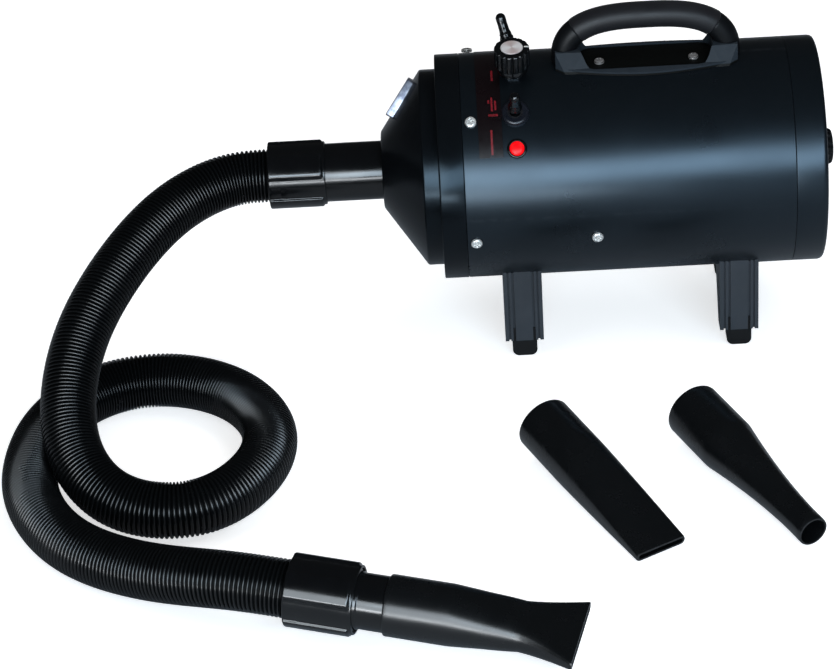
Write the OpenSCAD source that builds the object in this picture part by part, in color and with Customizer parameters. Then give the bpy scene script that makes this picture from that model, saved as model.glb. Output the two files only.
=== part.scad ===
// Pet dryer: a tubular blower on four feet, with a corrugated hose and three nozzles.
// Millimetres. +X runs along the blower from outlet to air inlet, +Z is up, the floor is z = 0.
// The origin is on the floor, under the middle of the blower and its two loose nozzles.

/* [Blower tube] */
// Outside diameter of the steel tube
tube_d = 180; // [170:1:190]
// Length of the steel tube
tube_len = 258; // [250:1:270]
// Thickness of the steel
tube_wall = 1.2; // [0.8:0.1:1.5]
// Height of the blower's axis above the floor
axis_h = 146; // [146:1:156]

/* [Front cap] */
// Width of the full-diameter ring
front_ring_w = 19.5; // [16:0.5:22]
// Diameter of the shoulder in front of the ring
shoulder_d = 157; // [150:1:162]
// Width of the shoulder
shoulder_w = 12.5; // [10:0.5:15]
// Length of the cone
cone_len = 33.4; // [30:0.1:40]
// Diameter of the cone's small end
cone_d = 61; // [56:1:70]
// Thickness of the plastic
cap_wall = 3; // [2.5:0.1:3.5]

/* [Outlet and hose] */
// Outside diameter of the outlet spigot
spigot_d = 47; // [45:0.5:48]
// Outside diameter of the hose
hose_d = 43; // [40:0.5:44]
// Diameter over the ribs of the hose cuffs
cuff_d = 54; // [52:0.5:56]
// Length of the hose cuff on the outlet
cuff_len = 46; // [42:1:50]
// Length of the hose cuff on the wand
rear_cuff_len = 51; // [48:1:54]

/* [Wand and nozzles] */
// Outside diameter of the wand tube
wand_d = 41; // [38:0.5:42]
// Outside diameter of the nozzles' round ends
nozzle_d = 45; // [44:0.5:47]
// Radial running clearance of the pushed-on fits
fit_gap = 0.05; // [0.03:0.01:0.1]
// Length of the fan nozzle on the wand
fan_len = 140; // [130:1:150]
// Width of the fan nozzle's slot end
fan_w = 74; // [60:1:76]
// Length of the loose flat nozzle
flat_len = 160; // [150:1:165]
// Length of the loose round nozzle
round_len = 166; // [155:1:170]
// Outside diameter of the round nozzle's tip
round_tip_d = 24; // [22:1:28]

/* [Rear] */
// Width of the rear ring
rear_ring_w = 25; // [22:1:30]
// Diameter of the filter cover's knob
cover_knob_d = 30; // [26:1:34]

/* [Handle] */
// Height of the grip's centre above the blower's axis
grip_rise = 126.5; // [125:0.5:136]
// Diameter of the grip
grip_d = 21; // [17:0.5:22]

/* [Feet] */
// Distance of the front feet behind the tube's front edge
foot_front = 42; // [38:1:46]
// Distance of the rear feet behind the tube's front edge
foot_rear = 215.5; // [205:0.5:218]
// Width of a foot
foot_w = 31; // [28:1:33]

/* [Controls] */
// Distance of the controls behind the tube's front edge
control_s = 42; // [38:1:44]
// Speed knob: angle from the top towards the front side
knob_phi = 10; // [8:1:12]
// Diameter of the speed knob
knob_d = 28; // [24:1:28]
// Height of the toggles above the tube
toggle_h = 33; // [30:1:35]
// Toggles' angle each side of the upright
toggle_throw = 14; // [12:1:20]

/* [Hidden] */

$fn = 72;
tube_r = tube_d / 2;
inner_r = tube_r - tube_wall;
spigot_r = spigot_d / 2;
gap = 0.1;

// Places along the axis, counted from the tube's front edge
shoulder_s = -front_ring_w;
cone_base_s = shoulder_s - shoulder_w;
cone_tip_s = cone_base_s - cone_len;
spigot_tip_s = -145;
cuff_s = -157;
rear_end_s = tube_len + rear_ring_w;
cover_knob_s = rear_end_s - 4;
cover_knob_h = 17;

// Angles from the top towards the front side
ring_screw_phi = [39.5, -39.5, 103.5, -103.5, 180];
raised_screw = 1;
mount_screw_phi = [103.5, -103.5];
mount_screw_s = 102;
power_phi = 36;
heater_phi = -16;
lamp_phi = 54;
label_phi = [-30, 58];
label_s = [12.5, 32];
gland_phi = -130;
gland_s = 236;
foot_phi = 150;
handle_screw_s = [110.5, 184.5];
handle_screw_phi = 5;

// Hose route: from the front cuff down to the floor, round a loop and on to the rear cuff
hose_route = [
    [-157, 0, 146], [-190, 0, 146], [-230, -25, 140], [-260, -65, 130], [-285, -105, 114],
    [-305, -145, 94], [-315, -190, 68], [-310, -235, 44], [-285, -270, 28], [-250, -285, 22],
    [-210, -285, 22], [-180, -260, 22], [-160, -220, 22], [-160, -175, 22], [-185, -130, 22],
    [-225, -105, 22], [-265, -100, 22], [-305, -115, 22], [-335, -155, 22], [-345, -200, 22],
    [-345, -250, 22], [-325, -300, 22], [-295, -335, 22], [-255, -360, 24], [-220, -380, 31],
    [-180, -395, 36], [-140, -405, 33]
];
hose_sides = 12;

// Wand: it carries on in the direction in which the hose ends
wand_from = hose_route[len(hose_route) - 1];
wand_dir = wand_from - hose_route[len(hose_route) - 2];
wand_show = 21.5;
wand_in_nozzle = 34;
nozzle_start = rear_cuff_len + wand_show;

// Loose nozzles: each lies on the floor on its tip and on the end of its straight part
slot_h = 8;
socket_depth = 30;
flat_straight = 44;
flat_heading = -59.7;
flat_slope = atan((nozzle_d - slot_h) / 2 / (flat_len - flat_straight));
flat_z = flat_straight * sin(flat_slope) + nozzle_d / 2 * cos(flat_slope);
flat_mouth = [51, -203, flat_z + 0.05];
round_straight = 50;
round_heading = -62.7;
round_slope = atan((nozzle_d - round_tip_d) / 2 / (round_len - round_straight));
round_z = round_straight * sin(round_slope) + nozzle_d / 2 * cos(round_slope);
round_mouth = [167, -192, round_z + 0.05];

// The set's middle, which becomes the origin
flat_tip_y = flat_mouth[1] + flat_len * cos(flat_slope) * sin(flat_heading);
set_x = (spigot_tip_s + cover_knob_s + cover_knob_h) / 2;
set_y = (tube_r + 0.6 + flat_tip_y - (nozzle_d / 2 - 1) * cos(flat_heading)) / 2;

// ---- Shared shapes ----

module place() {
    translate([-set_x, -set_y, 0]) children();
}

// On the blower's axis, with +Z to the rear
module axis_at(s) {
    translate([s, 0, axis_h]) rotate([0, 90, 0]) children();
}

// On the tube's skin, with +Z straight out of it
module skin(s, phi) {
    translate([s, 0, axis_h]) rotate([phi, 0, 0]) translate([0, 0, tube_r]) children();
}

// Along a direction, with +Z pointing that way
module along(from, dir) {
    flat = norm([dir[0], dir[1]]);
    translate(from) rotate([0, atan2(flat, dir[2]), atan2(dir[1], dir[0])]) children();
}

module pipe(r_out, r_in, h) {
    difference() {
        cylinder(r = r_out, h = h, $fn = 180);
        translate([0, 0, -1]) cylinder(r = r_in, h = h + 2, $fn = 180);
    }
}

// Everything inside the tube's outer skin, for cutting parts that sit on it
module tube_space() {
    axis_at(-60) cylinder(r = tube_r, h = tube_len + 120, $fn = 360);
}

// Pan head screw: head above z = 0, shank below it
module pan_screw(head_d, shank_d, shank_len, lift = 0) {
    difference() {
        rotate_extrude() polygon([
            [0, -shank_len], [shank_d / 2, -shank_len], [shank_d / 2, lift], [head_d / 2, lift],
            [head_d / 2, lift + 1.2], [head_d * 0.42, lift + 2.2], [head_d * 0.25, lift + 2.8],
            [0, lift + 3]
        ]);
        for (turn = [0, 90])
            rotate([0, 0, turn]) translate([0, 0, lift + 3]) cube([head_d * 0.55, 0.9, 2.4], center = true);
    }
}

// Cubic spline through the middle of a route, with straight ends
function spline_weights(t) = [
    pow(1 - t, 3), 3 * pow(t, 3) - 6 * t * t + 4, -3 * pow(t, 3) + 3 * t * t + 3 * t + 1, pow(t, 3)
] / 6;
function with_ends(p) = concat([2 * p[0] - p[1]], p, [2 * p[len(p) - 1] - p[len(p) - 2]]);
function spline(p, steps) = let (q = with_ends(p)) concat(
    [for (i = [0 : len(q) - 4], k = [0 : steps - 1])
        let (w = spline_weights(k / steps))
        w[0] * q[i] + w[1] * q[i + 1] + w[2] * q[i + 2] + w[3] * q[i + 3]],
    [p[len(p) - 1]]
);

// Round tube swept along a path, square to it everywhere
function unit(v) = v / norm(v);
function heading(path, i) = unit(path[min(i + 1, len(path) - 1)] - path[max(i - 1, 0)]);
function ring_at(path, i, r, sides, up) =
    let (t = heading(path, i), side = unit(cross(t, up)), rise = cross(side, t))
    [for (k = [0 : sides - 1]) path[i] + r * (cos(360 * k / sides) * side + sin(360 * k / sides) * rise)];

module sweep(path, r, sides, up = [0, 0, 1]) {
    rings = len(path);
    points = [for (i = [0 : rings - 1]) each ring_at(path, i, r, sides, up)];
    walls = [for (i = [0 : rings - 2], k = [0 : sides - 1])
        let (a = i * sides + k, b = i * sides + (k + 1) % sides) [a, a + sides, b + sides, b]];
    first = [for (k = [0 : sides - 1]) k];
    last = [for (k = [sides - 1 : -1 : 0]) (rings - 1) * sides + k];
    polyhedron(points, concat(walls, [first, last]), convexity = 10);
}

// Sleeve round the middle of a swept tube
module sweep_sleeve(path, skip, r_out, r_in, sides, up) {
    rings = len(path) - 2 * skip;
    n = rings * sides;
    points = concat(
        [for (i = [0 : rings - 1]) each ring_at(path, i + skip, r_out, sides, up)],
        [for (i = [0 : rings - 1]) each ring_at(path, i + skip, r_in, sides, up)]
    );
    outer = [for (i = [0 : rings - 2], k = [0 : sides - 1])
        let (a = i * sides + k, b = i * sides + (k + 1) % sides) [a, a + sides, b + sides, b]];
    inner = [for (i = [0 : rings - 2], k = [0 : sides - 1])
        let (a = n + i * sides + k, b = n + i * sides + (k + 1) % sides) [a, b, b + sides, a + sides]];
    first = [for (k = [0 : sides - 1]) let (b = (k + 1) % sides) [k, b, n + b, n + k]];
    last = [for (k = [0 : sides - 1])
        let (e = (rings - 1) * sides, b = e + (k + 1) % sides) [b, e + k, n + e + k, n + b]];
    polyhedron(points, concat(outer, inner, first, last), convexity = 10);
}

// ---- Housing ----

module body_tube() {
    color("#1d2126") place() difference() {
        axis_at(0) pipe(tube_r, inner_r, tube_len);
        for (phi = ring_screw_phi) skin(7, phi) cylinder(r = 2.2, h = 20, center = true);
        for (phi = mount_screw_phi) skin(mount_screw_s, phi) cylinder(r = 2.2, h = 20, center = true);
        for (s = handle_screw_s) skin(s, handle_screw_phi) cylinder(r = 2.2, h = 20, center = true);
        for (s = [foot_front, foot_rear], side = [1, -1])
            skin(s, side * foot_phi) cylinder(r = 2.2, h = 20, center = true);
        skin(control_s, knob_phi) cylinder(r = 4.7, h = 20, center = true);
        for (phi = [power_phi, heater_phi]) skin(control_s, phi) cylinder(r = 6.2, h = 20, center = true);
        skin(control_s, lamp_phi) cylinder(r = 4.2, h = 20, center = true);
        skin(gland_s, gland_phi) cylinder(r = 6.2, h = 20, center = true);
    }
}

module front_cap() {
    lip_r = inner_r - gap;
    slope = (shoulder_d - cone_d) / 2 / cone_len;
    color("#101214") place() difference() {
        axis_at(0) rotate_extrude() polygon([
            [spigot_r + gap, cone_tip_s], [cone_d / 2, cone_tip_s], [shoulder_d / 2, cone_base_s],
            [shoulder_d / 2, shoulder_s], [tube_r, shoulder_s], [tube_r, 0], [lip_r, 0], [lip_r, 14],
            [lip_r - cap_wall, 14], [lip_r - cap_wall, shoulder_s + cap_wall],
            [shoulder_d / 2 - cap_wall, shoulder_s + cap_wall],
            [shoulder_d / 2 - cap_wall, cone_base_s + cap_wall / 2],
            [cone_d / 2 + slope * 4.5 - 4.5, cone_tip_s + cap_wall], [spigot_r + gap, cone_tip_s + cap_wall]
        ]);
        for (phi = ring_screw_phi) skin(7, phi) cylinder(r = 2, h = 20, center = true);
    }
}

module outlet_spigot() {
    flange_s = cone_tip_s + cap_wall;
    color("#131518") place() {
        axis_at(spigot_tip_s) pipe(spigot_r, spigot_r - 2, flange_s - spigot_tip_s + 2);
        axis_at(flange_s) pipe(spigot_r + 3.5, spigot_r - 2, 2);
    }
}

module name_plate() {
    mid = 0.54;
    slope_angle = atan2(cone_len, (shoulder_d - cone_d) / 2);
    mid_s = cone_tip_s + cone_len * mid;
    mid_r = (cone_d + (shoulder_d - cone_d) * mid) / 2;
    color("#a9b1c6") place() difference() {
        translate([0, 0, axis_h]) rotate([-26, 0, 0]) translate([mid_s, 0, mid_r])
            rotate([0, slope_angle - 90, 0]) translate([-17, -20, -5]) cube([34, 40, 9]);
        axis_at(cone_tip_s) cylinder(r1 = cone_d / 2, r2 = shoulder_d / 2, h = cone_len, $fn = 360);
        axis_at(cone_base_s) cylinder(d = shoulder_d, h = shoulder_w, $fn = 360);
        axis_at(cone_tip_s - 1) cylinder(d = cone_d, h = 1);
    }
}

module rear_ring() {
    lip_r = inner_r - gap;
    color("#1a1d21") place() axis_at(0) rotate_extrude() polygon([
        [lip_r, tube_len - 12], [lip_r, tube_len], [tube_r, tube_len], [tube_r, rear_end_s - 3],
        [tube_r - 0.9, rear_end_s - 0.9], [tube_r - 3, rear_end_s], [tube_r - 4, rear_end_s - 1],
        [tube_r - 4, tube_len + 8], [tube_r - 10, tube_len + 8], [tube_r - 10, tube_len + 5],
        [lip_r - 3, tube_len + 5], [lip_r - 3, tube_len - 12]
    ]);
}

module stud_bridge() {
    bridge_s = tube_len + 1;
    color("#8d9299") place() {
        difference() {
            translate([bridge_s, -7, axis_h - lip_reach()]) cube([2.5, 14, 2 * lip_reach()]);
            axis_at(bridge_s - 1) cylinder(r = 3, h = 5);
        }
        axis_at(bridge_s - 3) cylinder(r = 5, h = 3, $fn = 6);
        axis_at(bridge_s) cylinder(r = 3, h = cover_knob_s + 12 - bridge_s);
    }
}
function lip_reach() = sqrt(pow(inner_r - gap - 3, 2) - 49);

module filter_foam() {
    color("#2b2d30") place() axis_at(tube_len + 8) pipe(tube_r - 5, 4, 9.8);
}

module control_label() {
    color("#17191c") place() difference() {
        axis_at(label_s[0]) rotate([0, 0, 180 + label_phi[0]])
            rotate_extrude(angle = label_phi[1] - label_phi[0])
                translate([tube_r, 0]) square([0.5, label_s[1] - label_s[0]]);
        for (phi = [power_phi, heater_phi]) skin(control_s, phi) cylinder(r = 11.2, h = 20, center = true);
    }
}

// ---- Handle ----

saddle_s = [76, 219];
saddle_thick = 3;
saddle_end_w = 12;
saddle_shoulder_s = [86, 209];
saddle_shoulder_w = 19;
saddle_mid_w = 26;
saddle_flare = 4.5;
bow_mid_s = 147.5;
bow_half = 64.5;
crown_s = [96, 199];
crown_z = tube_r + 12.5;
crown_w = 13;
ramp_s = [108, 187];
recess_s = [95.5, 200];
recess_half_w = 20;
recess_corner = 13;
recess_floor = tube_r + 1;

// Half the saddle's width: narrow at the ends, widest in the middle
function saddle_w(s) = saddle_shoulder_w + (saddle_mid_w - saddle_shoulder_w)
    * sin(180 * (s - saddle_shoulder_s[0]) / (saddle_shoulder_s[1] - saddle_shoulder_s[0]));

module saddle_plan() {
    step = (saddle_shoulder_s[1] - saddle_shoulder_s[0]) / 20;
    side = [for (k = [0 : 20]) let (s = saddle_shoulder_s[0] + k * step) [s, saddle_w(s)]];
    near = concat([[saddle_s[0], saddle_end_w]], side, [[saddle_s[1], saddle_end_w]]);
    polygon(concat(near, [for (i = [len(near) - 1 : -1 : 0]) [near[i][0], -near[i][1]]]));
}

module recess_plan() {
    translate([recess_s[0] + recess_corner, recess_corner - recess_half_w]) offset(r = recess_corner)
        square([recess_s[1] - recess_s[0] - 2 * recess_corner, 2 * (recess_half_w - recess_corner)]);
}

// A raised end round the bow's foot. It slopes down to the flat middle.
module saddle_end(end) {
    foot = saddle_s[end];
    shoulder = saddle_shoulder_s[end];
    ramp = ramp_s[end];
    shoulder_w = saddle_shoulder_w + saddle_flare;
    ramp_w = saddle_w(ramp);
    foot_w = saddle_end_w + saddle_flare;
    slice = 0.1;
    hull() {
        translate([0, 0, axis_h + tube_r - 8]) linear_extrude(slice) polygon([
            [foot, -foot_w], [shoulder, -shoulder_w], [ramp, -ramp_w],
            [ramp, ramp_w], [shoulder, shoulder_w], [foot, foot_w]
        ]);
        translate([0, 0, axis_h + crown_z - slice]) linear_extrude(slice) polygon([
            [foot, -saddle_end_w], [crown_s[end], -crown_w], [crown_s[end], crown_w], [foot, saddle_end_w]
        ]);
    }
}

module handle_saddle() {
    color("#3a4046") place() difference() {
        union() {
            intersection() {
                axis_at(0) cylinder(r = tube_r + saddle_thick, h = tube_len, $fn = 360);
                translate([0, 0, axis_h + tube_r - 20]) linear_extrude(40) saddle_plan();
            }
            for (end = [0, 1]) saddle_end(end);
        }
        tube_space();
        difference() {
            translate([0, 0, axis_h + tube_r - 12]) linear_extrude(30) recess_plan();
            axis_at(0) cylinder(r = recess_floor, h = tube_len, $fn = 360);
        }
        for (s = handle_screw_s) skin(s, handle_screw_phi) cylinder(r = 2.2, h = 20, center = true);
        for (side = [-1, 1])
            translate([bow_mid_s + side * bow_half, 0, axis_h]) cylinder(d = grip_d + 2 * gap, h = 120);
    }
}

// The bow's centre line: upright at both ends, flat along the top
bow_base = tube_r + 1;
function bow_point(a) = [
    bow_mid_s - bow_half * sign(cos(a)) * pow(abs(cos(a)), 0.72), 0,
    axis_h + bow_base + (grip_rise - bow_base) * pow(abs(sin(a)), 0.78)
];
bow_path = [for (a = [0 : 9 : 180]) bow_point(a)];

module handle_bow() {
    color("#17191c") place() sweep(bow_path, grip_d / 2 - 2, 16, [0, 1, 0]);
}

module handle_grip() {
    color("#2a2d31") place() sweep_sleeve(bow_path, 4, grip_d / 2, grip_d / 2 - 2, 16, [0, 1, 0]);
}

module handle_screws() {
    color("#c8ccd0") place() for (s = handle_screw_s)
        skin(s, handle_screw_phi) translate([0, 0, recess_floor - tube_r]) pan_screw(8, 4, 12);
}

// ---- Feet ----

foot_face_y = -61;
foot_base_z = 15;
tip_y = [-59.5, -47.5];

module foot_outline() {
    translate([-foot_w / 2, foot_face_y + 2.2]) square([foot_w, 45]);
    translate([-7, foot_face_y]) square([14, 3]);
    for (side = [-1, 1]) {
        translate([side * 10 - 1, foot_face_y]) square([2, 3]);
        translate([side * (foot_w / 2 - 1.5) - 1.5, foot_face_y]) square([3, 3]);
    }
}

module foot_tip_shape(grow = 0) {
    translate([0, tip_y[1] + grow, 0]) rotate([90, 0, 0]) linear_extrude(tip_y[1] - tip_y[0] + 2 * grow) {
        translate([-10 - grow, 5.5]) square([20 + 2 * grow, 20.5 + grow]);
        translate([-4.5, 0]) square([9, 8]);
        for (side = [-1, 1]) translate([side * 4.5, 5.5]) circle(r = 5.5 + grow);
    }
}

module foot(s, side) {
    color("#23262a") place() translate([s, 0, 0]) mirror([0, side > 0 ? 0 : 1, 0]) difference() {
        intersection() {
            translate([0, 0, foot_base_z]) linear_extrude(80) foot_outline();
            translate([-foot_w / 2 - 1, 0, 0]) rotate([90, 0, 90]) linear_extrude(foot_w + 2) polygon([
                [foot_face_y - 1, foot_base_z], [foot_face_y - 1, 90], [-20, 90], [-20, 60],
                [-46, foot_base_z]
            ]);
        }
        translate([-50, 0, axis_h]) rotate([0, 90, 0]) cylinder(r = tube_r, h = 100, $fn = 360);
        foot_tip_shape(gap);
        translate([0, 0, axis_h]) rotate([foot_phi, 0, 0]) cylinder(r = 2.1, h = tube_r + 15);
    }
}

module foot_tip(s, side) {
    color("#141517") place() translate([s, 0, 0]) mirror([0, side > 0 ? 0 : 1, 0]) foot_tip_shape();
}

module foot_front_near() { foot(foot_front, 1); }
module foot_front_far() { foot(foot_front, -1); }
module foot_rear_near() { foot(foot_rear, 1); }
module foot_rear_far() { foot(foot_rear, -1); }
module foot_tip_front_near() { foot_tip(foot_front, 1); }
module foot_tip_front_far() { foot_tip(foot_front, -1); }
module foot_tip_rear_near() { foot_tip(foot_rear, 1); }
module foot_tip_rear_far() { foot_tip(foot_rear, -1); }

module foot_screws() {
    color("#9aa0a6") place() for (s = [foot_front, foot_rear], side = [1, -1])
        skin(s, side * foot_phi) translate([0, 0, -tube_wall - 0.1])
            rotate([180, 0, 0]) pan_screw(7, 4, 14);
}

// ---- Outside screws ----

module ring_screws() {
    color("#d4d7da") place() for (i = [0 : len(ring_screw_phi) - 1])
        skin(7, ring_screw_phi[i]) pan_screw(9, 3.8, 6, i == raised_screw ? 3 : 0.2);
}

module mount_screws() {
    color("#d4d7da") place() for (phi = mount_screw_phi) skin(mount_screw_s, phi) pan_screw(9, 3.8, 8, 0.2);
}

// ---- Controls ----

module speed_pot() {
    color("#5d6166") place() skin(control_s, knob_phi) {
        difference() {
            union() {
                translate([0, 0, -16]) cylinder(r = 12, h = 12.8);
                translate([0, 0, -4]) cylinder(r = 4.5, h = 7.2);
            }
            translate([0, 0, -14]) cylinder(r = 3 + fit_gap, h = 20);
        }
    }
}

module pot_nut() {
    color("#b9bdc2") place() skin(control_s, knob_phi) difference() {
        cylinder(r = 8, h = 2.4, $fn = 6);
        translate([0, 0, -1]) cylinder(r = 4.55, h = 5);
    }
}

module pot_shaft() {
    color("#a4a8ad") place() skin(control_s, knob_phi) translate([0, 0, -13]) cylinder(r = 3, h = 33);
}

module speed_knob() {
    color("#0d0e10") place() skin(control_s, knob_phi) difference() {
        rotate_extrude() polygon([
            [0, 3.5], [knob_d * 0.43, 3.5], [knob_d * 0.41, 6], [knob_d * 0.39, 8.6],
            [knob_d / 2 - 0.6, 9.2], [knob_d / 2, 10], [knob_d / 2, 25], [knob_d / 2 - 1, 26], [0, 26]
        ]);
        for (k = [0 : 15]) rotate([0, 0, (k + 0.5) * 22.5]) translate([knob_d / 2 + 0.6, 0, 8])
            cylinder(r = 1.8, h = 20);
        translate([0, 0, 2]) cylinder(r = 3, h = 18);
        translate([0, 0, 24.8]) cylinder(r = 8.8, h = 3);
    }
}

module knob_cap() {
    color("#cfc9c6") place() skin(control_s, knob_phi) translate([0, 0, 24.8]) cylinder(r = 8.7, h = 1.6);
}

// Toggle switch below the skin: case, bushing and terminals
module switch_body(phi) {
    color("#232529") place() skin(control_s, phi) {
        difference() {
            union() {
                translate([-7, -6.5, -22]) cube([14, 13, 18.5]);
                translate([0, 0, -4]) cylinder(r = 5.9, h = 8);
            }
            translate([0, 0, -6]) cylinder(r = 4.4, h = 12);
        }
        for (x = [-4.5, 0, 4.5]) translate([x - 0.5, -1.5, -28]) cube([1, 3, 6.2]);
    }
}

// Knurled ring that clamps the boot's foot
module switch_ring(phi) {
    color("#34383e") place() difference() {
        skin(control_s, phi) rotate_extrude() polygon([
            [5.95, -2], [11, -2], [11, 2.6], [10, 3.8], [8.6, 4.4], [7.4, 4], [5.95, 4]
        ]);
        tube_space();
    }
}

// Lever in its boot, turning about a ball in the bushing
module toggle(phi, tilt) {
    ball_and_boot = [[0, -5], [2, -5], [2, -3.2], [3.6, -1.6], [4, 0], [3.4, 1.8], [2.6, 3.4], [3, 6],
        [5.6, 11], [4.6, 15], [4, 18]];
    round_tip = [for (a = [0 : 15 : 90]) [4 * cos(a), toggle_h - 5 + 4 * sin(a)]];
    color("#121316") place() skin(control_s, phi) translate([0, 0, 1]) rotate([0, tilt, 0])
        rotate_extrude() polygon(concat(ball_and_boot, round_tip));
}

module heater_switch() { switch_body(heater_phi); }
module power_switch() { switch_body(power_phi); }
module heater_switch_ring() { switch_ring(heater_phi); }
module power_switch_ring() { switch_ring(power_phi); }
module heater_toggle() { toggle(heater_phi, -toggle_throw); }
module power_toggle() { toggle(power_phi, 0); }

module lamp_body() {
    color("#8a8d90") place() skin(control_s, lamp_phi) {
        translate([0, 0, -18]) cylinder(r = 4, h = 18);
        for (x = [-2, 2]) translate([x - 0.4, -1, -23]) cube([0.8, 2, 5]);
    }
}

module lamp_bezel() {
    color("#18191b") place() difference() {
        skin(control_s, lamp_phi) rotate_extrude() polygon([
            [4.1, -2], [7.8, -2], [7.8, 0.9], [6.8, 1.7], [5.8, 1.7], [5.8, 0.9], [4.1, 0.9]
        ]);
        tube_space();
    }
}

module lamp_lens() {
    color("#e01818") place() skin(control_s, lamp_phi) rotate_extrude() polygon(concat(
        [[0, 1], [5.7, 1], [5.7, 2]], [for (a = [15 : 15 : 90]) [5.7 * cos(a), 2 + 2 * sin(a)]]
    ));
}

// ---- Motor, fan and heater ----

motor_s = 100;
motor_len = 72;
motor_r = 42;
fan_s = 172;
fan_len_s = 42;
fan_r = 66;
shaft_r = 4;

module motor_can() {
    color("#7f858c") place() axis_at(motor_s) difference() {
        cylinder(r = motor_r, h = motor_len);
        translate([0, 0, 3]) cylinder(r = motor_r - 2.5, h = motor_len - 6);
        translate([0, 0, -1]) cylinder(r = 11, h = motor_len + 2);
        for (turn = [0 : 60 : 300]) rotate([0, 0, turn]) translate([26, 0, -1])
            cylinder(r = 8, h = motor_len + 2);
    }
}

module motor_bearings() {
    color("#c4c8cc") place() for (s = [motor_s, motor_s + motor_len - 7])
        axis_at(s) pipe(11, shaft_r + fit_gap, 7);
}

module motor_shaft() {
    color("#b5b9be") place() axis_at(motor_s - 8) cylinder(r = shaft_r, h = fan_s + 36 - motor_s + 8);
}

module armature() {
    color("#a5672d") place() axis_at(motor_s + 12) {
        pipe(28, shaft_r, 36);
        translate([0, 0, 36]) pipe(14, shaft_r, 14);
    }
}

// Spider that holds the motor inside the tube
module motor_bracket() {
    color("#767b81") place() difference() {
        union() {
            axis_at(mount_screw_s - 8) pipe(inner_r - 0.2, inner_r - 3, 16);
            axis_at(motor_s - 2) difference() {
                cylinder(r = inner_r - 1, h = 2);
                translate([0, 0, -1]) cylinder(r = 34, h = 4);
                for (turn = [0 : 45 : 315]) rotate([0, 0, turn + 22]) translate([62, 0, -1])
                    cylinder(r = 15, h = 4);
            }
        }
        for (phi = mount_screw_phi) skin(mount_screw_s, phi) cylinder(r = 2, h = 40, center = true);
        for (s = handle_screw_s) skin(s, handle_screw_phi) cylinder(r = 3, h = 40, center = true);
    }
}

module fan_housing() {
    color("#9da2a8") place() axis_at(fan_s) difference() {
        cylinder(r = fan_r, h = fan_len_s);
        translate([0, 0, 2]) cylinder(r = fan_r - 2, h = fan_len_s - 4);
        translate([0, 0, fan_len_s - 3]) cylinder(r = 24, h = 5);
        translate([0, 0, -1]) cylinder(r = 9, h = 4);
        for (turn = [0 : 60 : 300]) rotate([0, 0, turn]) translate([26, 0, -1]) cylinder(r = 8, h = 4);
    }
}

module fan_gasket() {
    color("#1c1c1c") place() axis_at(fan_s + 24) pipe(inner_r - 0.2, fan_r, 12);
}

module impeller() {
    color("#c9cdd1") place() axis_at(fan_s + 6) {
        pipe(60, shaft_r, 1.6);
        translate([0, 0, 1.6]) pipe(9, shaft_r, 24);
        translate([0, 0, 24]) pipe(60, 24, 1.6);
        for (turn = [0 : 40 : 320]) rotate([0, 0, turn]) translate([14, 0, 1])
            rotate([0, 0, 24]) cube([44, 1.4, 23.6]);
    }
}

heater_s = 22;
heater_w = 44;

module heater_frame() {
    color("#b59f74") place() axis_at(heater_s) {
        translate([-heater_w, -0.8, 0]) cube([2 * heater_w, 1.6, 46]);
        for (side = [0, 180]) rotate([0, 0, side]) translate([-0.8, 0.8, 0])
            cube([1.6, heater_w - 0.8, 46]);
        for (z = [0, 43]) translate([-heater_w - 3.5, -0.8, z]) cube([2 * heater_w + 7, 1.6, 3]);
        pipe(heater_w + 4.2, heater_w + 3, 46);
        for (turn = [0, 90, 270]) rotate([0, 0, turn])
            translate([heater_w + 3.5, -5, 40]) cube([inner_r - heater_w - 4.2, 10, 2]);
    }
}

module heater_coil() {
    color("#8c8f92") place() for (k = [0 : 5]) axis_at(heater_s + 5 + 7 * k)
        rotate_extrude() translate([heater_w + 1.4, 0]) circle(r = 1.2, $fn = 16);
}

module thermal_cutout() {
    color("#c7b23c") place() axis_at(heater_s + 22) translate([-24, 0.8, 0])
        rotate([-90, 0, 0]) cylinder(r = 8, h = 6);
}

module control_board() {
    color("#2f6b3c") place() skin(74, knob_phi) translate([0, 0, -20]) {
        translate([-17, -24, 0]) cube([34, 48, 1.6]);
        for (y = [-14, 0, 13]) translate([-8, y, -9]) cube([12, 8, 9]);
    }
}

// Cable gland for the mains lead, on the far side near the rear
module cable_gland() {
    color("#1b1c1e") place() skin(gland_s, gland_phi) difference() {
        union() {
            translate([0, 0, -10]) cylinder(r = 6, h = 12);
            translate([0, 0, -4.6]) cylinder(r = 9.5, h = 3, $fn = 6);
            translate([0, 0, 0.6]) cylinder(r = 9.5, h = 4, $fn = 6);
            translate([0, 0, 4.6]) cylinder(r1 = 8, r2 = 5.6, h = 9);
        }
        translate([0, 0, -11]) cylinder(r = 3.6, h = 30);
    }
}

// ---- Rear filter cover ----

module filter_grille() {
    plate_r = tube_r - 4.4;
    color("#15171a") place() axis_at(rear_end_s - 7) difference() {
        union() {
            cylinder(r = plate_r, h = 2.4);
            cylinder(r = 9, h = 2.8);
        }
        translate([0, 0, -1]) cylinder(r = 3 + fit_gap, h = 6);
        for (ring = [0 : 6]) for (turn = [0 : 45 : 315]) rotate([0, 0, turn + 3])
            translate([0, 0, -1]) rotate_extrude(angle = 39) translate([19 + 9 * ring, 0]) square([3.6, 5]);
    }
}

module cover_knob() {
    color("#101214") place() axis_at(cover_knob_s) difference() {
        cylinder(d = cover_knob_d, h = cover_knob_h);
        translate([0, 0, -1]) cylinder(r = 3 + fit_gap, h = 13.5);
        for (k = [0 : 11]) rotate([0, 0, 30 * k]) translate([cover_knob_d / 2 + 1, 0, -1])
            cylinder(r = 2.2, h = cover_knob_h + 2);
    }
}

// ---- Hose, wand and nozzles ----

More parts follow.
